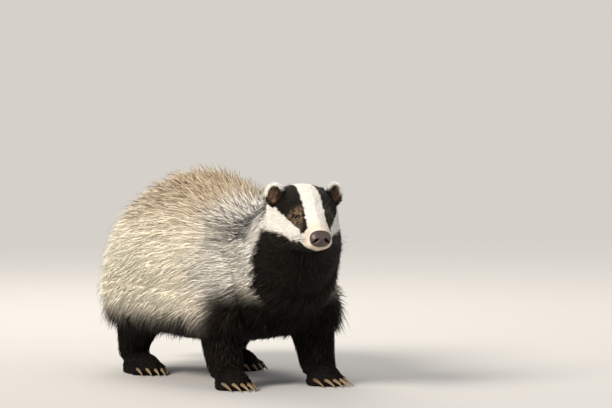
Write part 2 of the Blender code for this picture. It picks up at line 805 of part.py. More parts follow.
def fleshy_pieces():
    """Head, neck, torso, tail, legs and paws. The head has a finer skin than the rest."""
    forms = trunk_forms()
    tree = surface_tree(forms[0])
    markers = {
        "head": head_matrix() @ Vector((0, 0.095, 0)),
        "neck": Vector((-0.015, -0.245, 0.235)),
    }
    fine = reduced(flesh("head_flesh", forms + head_forms(), HEAD_VOXEL), HEAD_TRIANGLES)
    halves = parted(fine, [head_cut()], markers)
    remove(halves["neck"])
    markers["torso"] = Vector((0, 0.06, 0.19))
    markers["tail"] = TAIL_ROOT + 1.6 * TAIL_CUT
    cuts = [
        head_cut(),
        slab(NECK_SEAM, NECK_SEAM_NORMAL, 0.140),
        slab(TAIL_ROOT + TAIL_CUT, TAIL_WAY, 0.050),
    ]
    for side, hand in ((-1, "right"), (1, "left")):
        for name, rows, paw_x, toe_y in (
            ("fore", FORE_LEG, FORE_PAW_X, FORE_TOE_Y),
            ("hind", HIND_LEG, HIND_PAW_X, HIND_TOE_Y),
        ):
            cuts.append(leg_cut(rows, side, tree))
            cuts.append(slab((side * rows[-2][0], rows[-2][1], PAW_CUT_HEIGHT), (0, 0, 1), 0.055))
            markers[f"{name}leg_{hand}"] = Vector((side * rows[3][0], rows[3][1], rows[3][2]))
            markers[f"{name}paw_{hand}"] = Vector((side * paw_x, toe_y + 0.02, 0.012))
    whole = body_flesh()
    lie = surface_tree(whole)
    pieces = parted(flat_soles(reduced(whole, BODY_TRIANGLES)), cuts, markers)
    remove(pieces["head"])
    pieces["head"] = halves["head"]
    coat = trunk_locks(lie)
    coat["tail"] = tail_locks(lie)
    over_seam = [grown(each) for each in coat["neck"]]
    for name, locks in coat.items():
        boolean(pieces[name], locks, "UNION")
    boolean(pieces["torso"], over_seam, "DIFFERENCE")
    for name in coat:
        keep_largest(pieces[name])
    return pieces


def eye_places(tree):
    """Each eye's middle and the way that it looks."""
    face = head_matrix()
    turned = face.to_3x3()
    found = {}
    for side, hand in ((-1, "right"), (1, "left")):
        inside = face @ Vector((0, EYE_BEHIND_NOSE + 0.020, EYE_HEIGHT - 0.010))
        toward = face @ Vector((side * EYE_APART, EYE_BEHIND_NOSE, EYE_HEIGHT))
        place, _, _, _ = tree.ray_cast(inside, (toward - inside).normalized())
        gaze = (turned @ Vector((side * EYE_GAZE.x, EYE_GAZE.y, EYE_GAZE.z))).normalized()
        found[hand] = (place - gaze * EYE_SINK, gaze)
    return found


def lids(middle, gaze):
    """Upper and lower lid as one soft rim round the opening."""
    up = head_matrix().to_3x3() @ Vector((0, 0, 1))
    side = gaze.cross(up).normalized()
    level = side.cross(gaze).normalized()
    points = []
    for k in range(LID_STEPS):
        angle = 2 * math.pi * k / LID_STEPS
        offset = side * LID_HALF_WIDTH * math.cos(angle) + level * LID_HALF_HEIGHT * math.sin(angle)
        depth = math.sqrt(max(0.0, (EYE_RADIUS + LID_OVER_EYE) ** 2 - offset.length_squared))
        points.append(middle + offset + gaze * depth)
    return tube("lids", points, [LID_RADIUS] * LID_STEPS, gaze, closed=True, sides=6)


def mouth_line(tree, sink, corner_sink):
    """Places along the closed mouth, from its right corner under the nose to its left, sunk in the skin."""
    face = head_matrix()
    turned = face.to_3x3()
    points = []
    for k in range(MOUTH_STEPS):
        share = 2 * k / (MOUTH_STEPS - 1) - 1
        angle = MOUTH_ANGLE * share
        height = MOUTH_HEIGHT + MOUTH_RISE * abs(share) ** 1.5
        inside = face @ Vector((0, MOUTH_CENTRE, height))
        place, normal, _, _ = tree.ray_cast(inside, turned @ Vector((math.sin(angle), -math.cos(angle), 0)))
        points.append(place - normal * (sink + (corner_sink - sink) * abs(share) ** 6))
    return points


def ear(side, name):
    """A short round cup that opens forwards and outwards."""
    turn = Matrix.Rotation(side * EAR_TURN, 4, "Z") @ Matrix.Rotation(-EAR_TILT, 4, "X")
    place = head_matrix() @ Matrix.Translation((side * EAR_APART, EAR_BEHIND_NOSE, EAR_HEIGHT)) @ turn
    radii = Vector((EAR_HALF_WIDTH, EAR_HALF_DEPTH, EAR_HALF_HEIGHT))
    shell = ellipsoid(name, (0, 0, 0), radii, EAR_SEGMENTS, place)
    inner = radii - Vector((EAR_WALL, -0.001, EAR_WALL))
    middle = (0, -EAR_HALF_DEPTH * EAR_HOLLOW_FORWARD, EAR_HOLLOW_RAISED)
    hollow = ellipsoid("hollow", middle, inner, EAR_SEGMENTS, place)
    return keep_largest(boolean(shell, [hollow], "DIFFERENCE"))


def nose():
    """The leather pad, with a groove down its middle and a nostril on each side that ends in a slit."""
    face = head_matrix()
    turned = face.to_3x3()
    pad = ellipsoid("nose", NOSE_CENTRE, NOSE_RADII, NOSE_SEGMENTS, face)
    front = NOSE_CENTRE.y - NOSE_RADII[1] * 0.80
    cutters = []
    for side in (-1, 1):
        hole = Vector((side * NOSTRIL_APART, front, NOSE_CENTRE.z))
        opening = (NOSTRIL_RADIUS, NOSTRIL_DEPTH, NOSTRIL_RADIUS * 1.1)
        cutters.append(ellipsoid("nostril", hole, opening, 10, face))
        slit = []
        for k in range(4):
            out = 0.0010 + SLIT_STEP * k
            slit.append(face @ (hole + Vector((side * out, SLIT_CURVE * out**2, -0.6 * out))))
        cutters.append(tube("slit", slit, [SLIT_RADIUS] * 4, turned @ Vector((0, 0, 1)), sides=5))
    groove = []
    for k in range(5):
        down = GROOVE_STEP * k
        groove.append(face @ Vector((0, GROOVE_CURVE * down**2 - 0.0004, -0.001 - down)))
    cutters.append(tube("groove", groove, [GROOVE_RADIUS] * 5, turned @ Vector((0, -1, 0)), sides=5))
    return keep_largest(boolean(pad, cutters, "DIFFERENCE"))


def claw(name, toe, length, side):
    """A curved horn that comes out of the toe's upper front and ends just over the ground."""
    start = toe + Vector((0, -TOE_RADIUS * 0.6, TOE_RADIUS * 0.45))
    reach = length + TOE_RADIUS * 1.3
    drop = start.z - CLAW_CLEARANCE - 0.0012
    points = []
    radii = []
    for k in range(5):
        t = k / 4
        points.append(start + Vector((side * 0.001 * t, -reach * t, -drop * t**1.7)))
        radii.append(CLAW_RADIUS * (1 - 0.75 * t**1.5))
    return tube(name, points, radii, Vector((0, 0, 1)), sides=CLAW_SIDES, flatness=0.9)


def as_piece(obj, name, material, holder):
    """Makes a helper one of the badger's own pieces."""
    bpy.data.collections["cutters"].objects.unlink(obj)
    bpy.data.collections["badger"].objects.link(obj)
    obj.name = name
    obj.hide_render = False
    obj.display_type = "TEXTURED"
    obj.parent = holder
    material.name = name
    obj.data.materials.clear()
    obj.data.materials.append(material)
    obj.data.shade_smooth()
    obj.data.set_sharp_from_angle(angle=SHARP_ANGLE)


def badger():
    """All pieces by name."""
    pieces = fleshy_pieces()
    head = pieces["head"]
    tree = surface_tree(head)
    up = head_matrix().to_3x3() @ Vector((0, 0, 1))
    lips = mouth_line(tree, 0.35 * LIP_RADIUS, 1.7 * LIP_RADIUS)
    shares = [2 * k / (MOUTH_STEPS - 1) - 1 for k in range(MOUTH_STEPS)]
    fullness = [LIP_RADIUS * (1.0 - 0.5 * abs(share) ** 3) for share in shares]
    lip_up = tube("lip", [p + up * LIP_RADIUS * 0.8 for p in lips], fullness, up, sides=6)
    lip_down = tube("lip", [p - up * LIP_RADIUS * 0.8 for p in lips], fullness, up, sides=6)
    eyes = eye_places(tree)
    rims = [lids(*eyes[hand]) for hand in eyes]
    boolean(head, rims + [lip_up, lip_down], "UNION")
    pieces["nose"] = nose()
    pad = ellipsoid("pad", NOSE_CENTRE, NOSE_RADII, NOSE_SEGMENTS, head_matrix())
    sockets = [grown(pad)]
    remove(pad)
    opening = mouth_line(tree, 0.0, -MOUTH_RADIUS)
    sockets.append(tube("mouth", opening, [MOUTH_RADIUS] * MOUTH_STEPS, up, sides=6))
    for side, hand in ((-1, "right"), (1, "left")):
        middle, _ = eyes[hand]
        pieces[f"eye_{hand}"] = ellipsoid(f"eye_{hand}", middle, (EYE_RADIUS,) * 3, 12)
        pieces[f"ear_{hand}"] = ear(side, f"ear_{hand}")
        sockets.append(grown(pieces[f"eye_{hand}"]))
        sockets.append(grown(pieces[f"ear_{hand}"]))
        for name, toe_y, paw_x, length in (
            ("fore", FORE_TOE_Y, FORE_PAW_X, FORE_CLAW_LENGTH),
            ("hind", HIND_TOE_Y, HIND_PAW_X, HIND_CLAW_LENGTH),
        ):
            holes = []
            for toe in range(TOES):
                each = claw(f"claw_{name}_{hand}_{toe + 1}", toe_place(toe, toe_y, paw_x, side), length, side)
                pieces[each.name] = each
                holes.append(grown(each))
            paw = pieces[f"{name}paw_{hand}"]
            keep_largest(boolean(paw, holes, "DIFFERENCE"))
    keep_largest(boolean(head, sockets, "DIFFERENCE"))
    return pieces


def main():
    clear_scene()
    holder = bpy.data.objects.new("badger", None)
    holder.location = ORIGIN_SHIFT
    bpy.data.collections["badger"].objects.link(holder)
    coats = {
        "head": finish("short white fur", FUR_WHITE, 0.8),
        "torso": finish("grizzled grey coat", FUR_GREY, 0.85),
        "tail": finish("pale tail fur", FUR_PALE, 0.85),
        "leg": finish("black leg fur", FUR_BLACK, 0.8),
        "nose": finish("nose leather", NOSE_LEATHER, 0.4),
        "eye": finish("wet dark eye", EYE_DARK, 0.05),
        "claw": finish("claw horn", HORN, 0.45),
    }
    looks = {"neck": "torso", "ear": "head"}
    for name, piece in badger().items():
        kind = name.split("_")[0].replace("fore", "").replace("hind", "").replace("paw", "leg")
        as_piece(piece, name, coats[looks.get(kind, kind)].copy(), holder)


if __name__ == "__main__":
    main()
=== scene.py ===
"""A European badger in its coat: one skin under solid tufts of fur, with eyes, nose leather, claws and whiskers.

Metres, +Z up. The badger faces -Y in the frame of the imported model, whose nodes these pieces dress or replace.
"""

import math

import bmesh
import bpy
import numpy as np
from bpy.props import FloatProperty, FloatVectorProperty, PointerProperty
from mathutils import Matrix, Vector
from mathutils.bvhtree import BVHTree


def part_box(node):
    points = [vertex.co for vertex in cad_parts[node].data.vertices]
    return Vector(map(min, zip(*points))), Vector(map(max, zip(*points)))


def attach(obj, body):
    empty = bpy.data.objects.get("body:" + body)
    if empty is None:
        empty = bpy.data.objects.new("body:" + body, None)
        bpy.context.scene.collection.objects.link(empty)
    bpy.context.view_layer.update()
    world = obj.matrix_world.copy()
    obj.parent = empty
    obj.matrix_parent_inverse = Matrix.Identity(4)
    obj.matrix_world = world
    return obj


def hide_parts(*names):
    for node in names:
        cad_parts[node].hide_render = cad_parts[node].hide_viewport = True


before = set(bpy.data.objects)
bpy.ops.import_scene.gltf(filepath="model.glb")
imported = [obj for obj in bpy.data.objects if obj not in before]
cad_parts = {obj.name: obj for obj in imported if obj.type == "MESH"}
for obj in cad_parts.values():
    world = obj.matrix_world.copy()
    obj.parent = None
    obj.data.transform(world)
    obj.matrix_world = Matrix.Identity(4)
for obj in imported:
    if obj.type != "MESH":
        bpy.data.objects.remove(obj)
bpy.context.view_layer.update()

bl_info = {
    "name": "European badger",
    "version": (1, 0, 0),
    "blender": (4, 5, 0),
    "location": "3D View > Sidebar > Badger",
    "description": "Dresses the packed badger with its skin, coat, eyes, nose, claws and whiskers",
    "category": "Object",
}

# The body under its coat. These rows give the outline at the tips of the coat, as the solids have it
BACK_HEIGHT = 0.342
FLANK_HALF_WIDTH = 0.148
RUMP_Y = 0.316
CHEST_Y = -0.225
NOSE_TIP = Vector((-0.060, -0.428, 0.252))
HEAD_YAW = math.radians(13)
HEAD_PITCH = math.radians(14)
BODY_SHIFT = Vector((0.000, 0.012, 0.0))
TORSO = (
    (RUMP_Y, 0.570, 0.505, 0.445, 0.10),
    (RUMP_Y - 0.014, 0.700, 0.510, 0.325, 0.45),
    (RUMP_Y - 0.050, 0.870, 0.510, 0.245, 0.76),
    (0.200, 0.942, 0.510, 0.210, 0.95),
    (0.120, 1.000, 0.510, 0.200, 1.00),
    (0.050, 0.975, 0.510, 0.200, 0.97),
    (-0.020, 0.918, 0.515, 0.210, 0.90),
    (-0.080, 0.873, 0.525, 0.230, 0.81),
    (-0.130, 0.840, 0.535, 0.260, 0.72),
    (-0.185, 0.790, 0.555, 0.325, 0.60),
    (CHEST_Y, 0.710, 0.575, 0.445, 0.36),
)
NECK = (
    (-0.060, 0.180, 0.075, 0.085, 0.000),
    (-0.110, 0.195, 0.096, 0.093, 0.000),
    (-0.150, 0.206, 0.100, 0.094, -0.001),
    (-0.185, 0.215, 0.098, 0.093, -0.004),
    (-0.232, 0.236, 0.087, 0.084, -0.012),
    (-0.272, 0.260, 0.074, 0.071, -0.022),
    (-0.308, 0.279, 0.057, 0.054, -0.031),
)
HEAD = (
    (0.007, 0.0100, 0.000, -0.0150, 0.0120),
    (0.014, 0.0160, 0.000, -0.0200, 0.0180),
    (0.030, 0.0220, 0.000, -0.0265, 0.0225),
    (0.048, 0.0285, 0.000, -0.0325, 0.0270),
    (0.066, 0.0385, 0.000, -0.0380, 0.0350),
    (0.086, 0.0500, 0.001, -0.0430, 0.0455),
    (0.108, 0.0565, 0.003, -0.0470, 0.0525),
    (0.130, 0.0570, 0.005, -0.0490, 0.0550),
    (0.152, 0.0520, 0.004, -0.0490, 0.0530),
    (0.174, 0.0400, 0.002, -0.0400, 0.0430),
)
HEAD_SWELLINGS = (
    (0.0105, 0.024, -0.0070, 0.0125, 0.0180, 0.0120),
    (0.0190, 0.078, 0.0275, 0.0130, 0.0240, 0.0095),
    (0.0330, 0.116, -0.0140, 0.0240, 0.0380, 0.0310),
)
FORE_LEG = (
    (0.046, -0.112, 0.205, 0.032, 0.046),
    (0.065, -0.112, 0.158, 0.041, 0.055),
    (0.078, -0.114, 0.114, 0.040, 0.048),
    (0.083, -0.122, 0.072, 0.034, 0.038),
    (0.083, -0.132, 0.040, 0.030, 0.033),
    (0.083, -0.140, 0.020, 0.029, 0.030),
)
HIND_LEG = (
    (0.060, 0.180, 0.205, 0.048, 0.076),
    (0.079, 0.173, 0.154, 0.051, 0.076),
    (0.090, 0.168, 0.114, 0.045, 0.061),
    (0.093, 0.184, 0.076, 0.034, 0.042),
    (0.091, 0.200, 0.046, 0.027, 0.031),
    (0.090, 0.199, 0.022, 0.025, 0.030),
)
TAIL_ROOT = Vector((0.0, 0.285, 0.215))
TAIL_CUT = Vector((0.0, 0.057, -0.049))
TAIL_WAY = Vector((0.0, 0.67, -0.745)).normalized()
TAIL_RUN = 0.115
TAIL = (
    (-0.30, 0.034, 0.034, 0.030),
    (0.00, 0.000, 0.040, 0.033),
    (0.25, -0.018, 0.044, 0.035),
    (0.55, -0.056, 0.043, 0.033),
    (0.82, -0.100, 0.032, 0.025),
    (1.00, -0.136, 0.008, 0.008),
)
FORE_HEEL_Y, FORE_TOE_Y, FORE_PAW_X = -0.137, -0.180, 0.083
HIND_HEEL_Y, HIND_TOE_Y, HIND_PAW_X = 0.207, 0.130, 0.090
PAW_HALF_WIDTH = 0.0310
PAW_HEIGHT = 0.028
PAW_MIDDLE_HEIGHT = 0.008
TOE_RADIUS = 0.0080
TOE_SHAPE = (0.92, 2.10, 1.25)
TOES = 5
CLAW_RADIUS = 0.0036
CLAW_CLEARANCE = 0.0010

# Where the face's parts sit in the head's own frame, with the nose tip at its origin and +Y to the nape
EYE_GAZE = Vector((0.72, -0.62, 0.30))
LID_HALF_WIDTH = 0.0060
LID_HALF_HEIGHT = 0.0046
EAR_PLACE = Vector((0.0470, 0.127, 0.0378))
EAR_RADII = Vector((0.0158, 0.0085, 0.0190))
EAR_TURN = math.radians(28)
EAR_TILT = math.radians(12)
EAR_REACH = 1.12
EAR_CUP = 0.92
NOSE_CENTRE = Vector((0.0, 0.0112, 0.0010))
NOSE_RADII = Vector((0.0170, 0.0114, 0.0132))
NOSE_FULLNESS = 2.4
NOSE_LEAN = 24.0
NOSTRIL_APART = 0.0082
MOUTH_CENTRE = 0.050
MOUTH_HEIGHT = -0.0195
MOUTH_RISE = 0.0045
MOUTH_ANGLE = math.radians(92)

# How deep each form's coat is, from its outline down to the skin
NAPE_Y = -0.285
WITHERS_Y = -0.190
FACE_DEPTH = 0.0014
CROWN_DEPTH = 0.0056
LEG_DEPTH = 0.0040
PAW_DEPTH = 0.0016

# How steeply the hair of the trunk lies downwards, beside the spine and low on the flank
LIE_DROP_SPINE = math.radians(8)
LIE_DROP_FLANK = math.radians(48)

# The size of the skin's faces, and the places of its two hollows to fill
SKIN_VOXEL = 0.0032
NAPE = Vector((-0.010, -0.238, 0.312))
TAIL_TOP = Vector((0.0, 0.322, 0.205))

# How far from the middle the coat's tips reach before they are laid flatter
STAND_PROUD = 0.146

# Each zone's own hair, in the order of zones: width, tufts on a square centimetre, how far a tuft may turn
TUFT_WIDTHS = (0.0007, 0.0008, 0.0010, 0.0010, 0.0010, 0.0015, 0.0012, 0.0010, 0.0013, 0.0008)
TUFT_DENSITIES = (68.0, 54.0, 42.0, 36.0, 29.5, 11.0, 15.0, 22.0, 28.0, 90.0)
TUFT_TURNS = (6.0, 7.0, 8.0, 9.0, 9.0, 12.0, 8.0, 7.0, 8.0, 9.0)

# Where along a tuft its sections lie, and how wide it is at each before its pointed tip
LONG_SHARES = (0.0, 0.58, 1.0)
LONG_PROFILE = (0.80, 1.0)
SHORT_SHARES = (0.0, 0.5, 1.0)
SHORT_PROFILE = (0.85, 0.95)
MOST_TRIANGLES = 190000


# What one operator finds and others use
FOUND = {}


def linear(hex_colour):
    """An sRGB hex colour as linear red, green and blue."""
    channels = [int(hex_colour[k:k + 2], 16) / 255 for k in (1, 3, 5)]
    return tuple(c / 12.92 if c <= 0.04045 else ((c + 0.055) / 1.055) ** 2.4 for c in channels)


def length_of(name, description, default):
    """A length that a user may change."""
    return FloatProperty(name=name, description=description, default=default, min=0.0, unit="LENGTH")


def colour_of(name, description, hex_colour):
    """A colour that a user may change."""
    return FloatVectorProperty(
        name=name, description=description, subtype="COLOR", size=3, min=0.0, max=1.0, default=linear(hex_colour)
    )


class CoatSettings(bpy.types.PropertyGroup):
    """Sizes and colours of the fur."""

    trunk_length: length_of("Guard hair", "Length of the long hair on back, flanks and rump", 0.058)
    neck_length: length_of("Neck hair", "Length of the hair on the neck", 0.038)
    belly_length: length_of("Belly hair", "Length of the thin hair under the belly", 0.026)
    tail_length: length_of("Tail hair", "Length of the hair on the tail", 0.046)
    leg_length: length_of("Leg hair", "Length of the hair on the legs", 0.017)
    paw_length: length_of("Paw hair", "Length of the hair on the feet", 0.0075)
    face_length: length_of("Face hair", "Length of the short hair before the eyes", 0.0060)
    crown_length: length_of("Crown hair", "Length of the hair between the ears", 0.0130)
    cheek_length: length_of("Cheek hair", "Length of the hair behind the cheeks", 0.0200)
    ear_length: length_of("Ear hair", "Length of the hair on the ears", 0.0058)
    trunk_depth: length_of("Trunk coat depth", "Height of the coat's tips over the skin of the trunk", 0.026)
    nape_depth: length_of("Nape coat depth", "Height of the coat's tips over the skin at the nape", 0.010)
    tail_depth: length_of("Tail coat depth", "Height of the coat's tips over the skin of the tail", 0.016)
    density: FloatProperty(name="Density", description="Tufts for each of the usual ones", default=1.0, min=0.02, max=1.2)
    cream: colour_of("Cream", "Pale fur of the flanks", "#FBF1DD")
    white: colour_of("White", "Fur of the face, neck band and ear rims", "#EDEAE3")
    grizzle: colour_of("Grizzle", "Dark band of the guard hairs on the back", "#2C241E")
    slate: colour_of("Slate", "Dark fur of the band before the shoulder", "#32353F")
    black: colour_of("Black", "Fur of the face stripes, throat, belly and legs", "#080706")
    fawn: colour_of("Fawn", "Ground colour of the hair on the back", "#BCA88B")
    brown: colour_of("Brown", "Fur round the eyes", "#86705B")
    ear_brown: colour_of("Ear brown", "Fur in the ears", "#745A48")


class FaceSettings(bpy.types.PropertyGroup):
    """Sizes and colours of the bare parts of head and feet."""

    eye_radius: length_of("Eye radius", "Radius of the eyeball", 0.0056)
    lid_radius: length_of("Lid thickness", "Half thickness of the lids", 0.0013)
    ear_wall: length_of("Ear wall", "Thickness of the ear's cup", 0.0022)
    nostril_depth: length_of("Nostril depth", "How far the nostrils go in", 0.0060)
    fore_claw: length_of("Front claws", "Length of the digging claws", 0.026)
    hind_claw: length_of("Hind claws", "Length of the hind claws", 0.014)
    whisker_length: length_of("Whiskers", "Length of the longest whisker", 0.050)
    iris: colour_of("Iris", "Brown of the iris", "#24150D")
    leather: colour_of("Nose leather", "Bare skin of the nose", "#41322E")
    lid: colour_of("Lid rim", "Bare skin of the lids and lips", "#17110F")
    horn: colour_of("Claw horn", "Horn of the claws at their tips", "#8F7B5E")
    horn_root: colour_of("Claw root", "Horn of the claws at their roots", "#4A3B2C")


class StageSettings(bpy.types.PropertyGroup):
    """The floor, the light and the camera's distance."""

    floor_size: length_of("Floor", "Length of the floor's sides", 280.0)
    floor_colour: colour_of("Floor colour", "Pale floor", "#B9B8B6")
    key_strength: FloatProperty(name="Key light", description="Strength of the wide main light", default=4.45, min=0.0)
    fill_power: FloatProperty(name="Fill light", description="Power of the fill light", default=12.0, min=0.0, unit="POWER")
    rim_power: FloatProperty(name="Rim light", description="Power of the light from behind", default=30.0, min=0.0, unit="POWER")
    distance: length_of("Camera distance", "From the camera to the eyes", 7.0)


def smoothstep(low, high, value):
    """0 below low, 1 above high, and smooth between them."""
    t = np.clip((np.asarray(value, float) - low) / (high - low), 0.0, 1.0)
    return t * t * (3 - 2 * t)


def unit(vectors):
    """Rows of vectors, each drawn to length one."""
    return vectors / np.maximum(np.linalg.norm(vectors, axis=-1, keepdims=True), 1e-12)


def head_matrix():
    """From the head's own frame to the model's."""
    turn = Matrix.Rotation(-HEAD_YAW, 4, "Z") @ Matrix.Rotation(HEAD_PITCH, 4, "X")
    return Matrix.Translation(NOSE_TIP + BODY_SHIFT) @ turn


HEAD_TO_MODEL = np.array(head_matrix())


def in_head(places):
    """Places in the head's own frame: to the left, behind the nose tip, and up."""
    return (places - HEAD_TO_MODEL[:3, 3]) @ HEAD_TO_MODEL[:3, :3]


def patches(places, size, seed):
    """Soft uneven patches between -1 and 1, of about this size, for what varies over the coat."""
    rng = np.random.default_rng(seed)
    total = np.zeros(len(places))
    for octave in range(5):
        way = unit(rng.normal(size=3)) * 2 * math.pi / (size * rng.uniform(0.7, 1.5))
        total += np.sin(places @ way + rng.uniform(0, 6.28) + 1.7 * np.sin(places @ np.roll(way, 1) * 0.6))
    return total / 3.2


def new_mesh_object(name, bm):
    """An object from a bmesh."""
    mesh = bpy.data.meshes.new(name)
    bm.to_mesh(mesh)
    bm.free()
    obj = bpy.data.objects.new(name, mesh)
    bpy.context.scene.collection.objects.link(obj)
    return obj


def apply_modifiers(obj):
    """The object's mesh becomes what its modifiers make of it."""
    bpy.context.view_layer.update()
    graph = bpy.context.evaluated_depsgraph_get()
    made = bpy.data.meshes.new_from_object(obj.evaluated_get(graph))
    obj.modifiers.clear()
    old = obj.data
    obj.data = made
    bpy.data.meshes.remove(old)
    return obj


def smooth_rows(rows, steps):
    """A Catmull-Rom curve through rows of numbers, with this many steps from one row to the next."""
    rows = np.array(rows, float)
    ends = np.vstack([2 * rows[0] - rows[1], rows, 2 * rows[-1] - rows[-2]])
    found = []
    for before, a, b, after in zip(ends, ends[1:], ends[2:], ends[3:]):
        for t in np.arange(steps) / steps:
            found.append(
                0.5 * (2 * a + (b - before) * t + (2 * before - 5 * a + 4 * b - after) * t**2
                       + (3 * a - before - 3 * b + after) * t**3)
            )
    return np.array(found + [rows[-1]])


def ring(centre, side, up, half_width, half_up, half_down, power_up=2.0, power_down=2.0, sides=40):
    """Points of a section with its own depth and fullness above and below its belt."""
    points = []
    for k in range(sides):
        angle = 2 * math.pi * k / sides
        above = math.sin(angle) > 0
        power = power_up if above else power_down
        across = half_width * math.copysign(abs(math.cos(angle)) ** (2 / power), math.cos(angle))
        high = half_up if above else half_down
        along = high * math.copysign(abs(math.sin(angle)) ** (2 / power), math.sin(angle))
        points.append(centre + side * across + up * along)
    return points


def loft(rings, closed=False):
    """A bmesh skin over sections with as many points each, closed at each end's middle."""
    bm = bmesh.new()
    loops = [[bm.verts.new(p) for p in points] for points in rings]
    pairs = list(zip(loops, loops[1:])) + ([(loops[-1], loops[0])] if closed else [])
    for one, two in pairs:
        for k in range(len(one)):
            after = (k + 1) % len(one)
            bm.faces.new((one[k], one[after], two[after], two[k]))
    for loop in () if closed else (loops[0], loops[-1]):
        middle = bm.verts.new(sum((v.co for v in loop), Vector()) / len(loop))
        for k in range(len(loop)):
            bm.faces.new((loop[k], loop[(k + 1) % len(loop)], middle))
    bmesh.ops.recalc_face_normals(bm, faces=bm.faces[:])
    return bm


def tube(points, radii, up, closed=False, sides=10, flatness=1.0):
    """A bmesh tube along a line of points."""
    rings = []
    count = len(points)
    for k, point in enumerate(points):
        before = points[k - 1] if closed or k else point
        after = points[(k + 1) % count] if closed or k + 1 < count else point
        ahead = (after - before).normalized()
        side = ahead.cross(up).normalized()
        deep = radii[k] * flatness
        rings.append(ring(point, side, side.cross(ahead), radii[k], deep, deep, sides=sides))
    return loft(rings, closed)


def limb(rows, sides=36):
    """A bmesh loft along a line of rows, each x, y, z, half width and half depth."""
    found = smooth_rows(rows, 4)
    centres = [Vector(row[:3]) for row in found]
    rings = []
    for k, row in enumerate(found):
        ahead = centres[min(k + 1, len(centres) - 1)] - centres[max(k - 1, 0)]
        up = Vector((1, 0, 0)).cross(ahead).normalized()
        rings.append(ring(centres[k], ahead.cross(up).normalized(), up, row[3], row[4], row[4], sides=sides))
    return loft(rings)


def ellipsoid(centre, radii, matrix=Matrix.Identity(4), segments=32):
    """A bmesh ellipsoid."""
    bm = bmesh.new()
    bmesh.ops.create_uvsphere(bm, u_segments=segments, v_segments=segments // 2, radius=1.0)
    size = Matrix.Diagonal((*radii, 1))
    bmesh.ops.transform(bm, matrix=matrix @ Matrix.Translation(centre) @ size, verts=bm.verts[:])
    return bm


def drawn_in(bm, depth):
    """Draws a form in from the coat's tips to the skin, by what depth says of a place and its normal."""
    bm.normal_update()
    for vertex in bm.verts:
        vertex.co -= vertex.normal * depth(vertex.co, vertex.normal)
    return bm


def trunk_coat_depth(settings):
    """How deep the long coat is: shorter towards the head, and none on the underside."""
    def depth(place, normal):
        ahead = min(1.0, max(0.0, (place.y - WITHERS_Y) / (NAPE_Y - WITHERS_Y)))
        under = min(1.0, max(0.0, (-normal.z - 0.30) / 0.45))
        return (settings.trunk_depth + (settings.nape_depth - settings.trunk_depth) * ahead) * (1.0 - under)
    return depth


def head_coat_depth(place, normal):
    """How deep the coat of the head is, from the nose tip backwards: short on the face and longer on the crown."""
    behind = min(1.0, max(0.0, (place.y - 0.070) / 0.045))
    on_top = min(1.0, max(0.0, (normal.z - 0.20) / 0.50))
    return FACE_DEPTH + (CROWN_DEPTH - FACE_DEPTH) * behind * on_top


def toe_place(toe, toe_y, paw_x, side):
    """The middle of a toe. The middle ones reach furthest, and the inner one least."""
    across = (toe - (TOES - 1) / 2) / ((TOES - 1) / 2)
    back = 0.013 * across**2 + (0.006 if across * side < -0.9 else 0.0)
    return Vector((side * paw_x + across * PAW_HALF_WIDTH * 0.80, toe_y + back, TOE_RADIUS * 0.92))


def body_forms(settings):
    """Every form of the body, drawn in to the skin."""
    depth = trunk_coat_depth(settings)
    rings = []
    for y, top, belt, bottom, width in smooth_rows(TORSO, 4):
        rings.append(ring(Vector((0, y, belt * BACK_HEIGHT)), Vector((1, 0, 0)), Vector((0, 0, 1)),
                          width * FLANK_HALF_WIDTH, (top - belt) * BACK_HEIGHT, (belt - bottom) * BACK_HEIGHT,
                          1.85, 2.25, 56))
    forms = [drawn_in(loft(rings), depth)]
    forms.append(drawn_in(limb([(x, y, z, wide, high) for y, z, wide, high, x in NECK]), depth))
    tail = [(0.0, TAIL_ROOT.y + share * TAIL_RUN, TAIL_ROOT.z + drop, wide, high) for share, drop, wide, high in TAIL]
    forms.append(drawn_in(limb(tail), lambda place, normal: settings.tail_depth))
    to_model = Matrix.Translation(-BODY_SHIFT) @ head_matrix()
    rings = []
    for d, top, belt, bottom, width in smooth_rows(HEAD, 4):
        rings.append(ring(Vector((0, d, belt)), Vector((1, 0, 0)), Vector((0, 0, 1)), width, top - belt, belt - bottom,
                          2.15, 2.2, 48))
    outline = drawn_in(loft(rings), head_coat_depth)
    bmesh.ops.transform(outline, matrix=to_model, verts=outline.verts[:])
    forms.append(outline)
    for side in (-1, 1):
        for x, d, z, *radii in HEAD_SWELLINGS:
            forms.append(ellipsoid((side * x, d, z), [r - FACE_DEPTH for r in radii], to_model))
        for rows, heel_y, toe_y, paw_x in (
            (FORE_LEG, FORE_HEEL_Y, FORE_TOE_Y, FORE_PAW_X),
            (HIND_LEG, HIND_HEEL_Y, HIND_TOE_Y, HIND_PAW_X),
        ):
            leg = limb([(side * x, y, z, w, d) for x, y, z, w, d in rows])
            forms.append(drawn_in(leg, lambda place, normal: LEG_DEPTH))
            half = abs(heel_y - toe_y) / 2 + 0.016 - PAW_DEPTH
            middle = (side * paw_x, (heel_y + toe_y) / 2, PAW_MIDDLE_HEIGHT)
            forms.append(ellipsoid(middle, (PAW_HALF_WIDTH * 0.88 - PAW_DEPTH, half, PAW_HEIGHT - PAW_DEPTH)))
            for toe in range(TOES):
                radii = Vector(TOE_SHAPE) * TOE_RADIUS - Vector((PAW_DEPTH,) * 3) * 0.7
                forms.append(ellipsoid(toe_place(toe, toe_y, paw_x, side), radii))
    return forms


def joined(forms):
    """One bmesh of several."""
    whole = bmesh.new()
    for form in forms:
        mesh = bpy.data.meshes.new("form")
        form.to_mesh(mesh)
        form.free()
        whole.from_mesh(mesh)
        bpy.data.meshes.remove(mesh)
    return whole


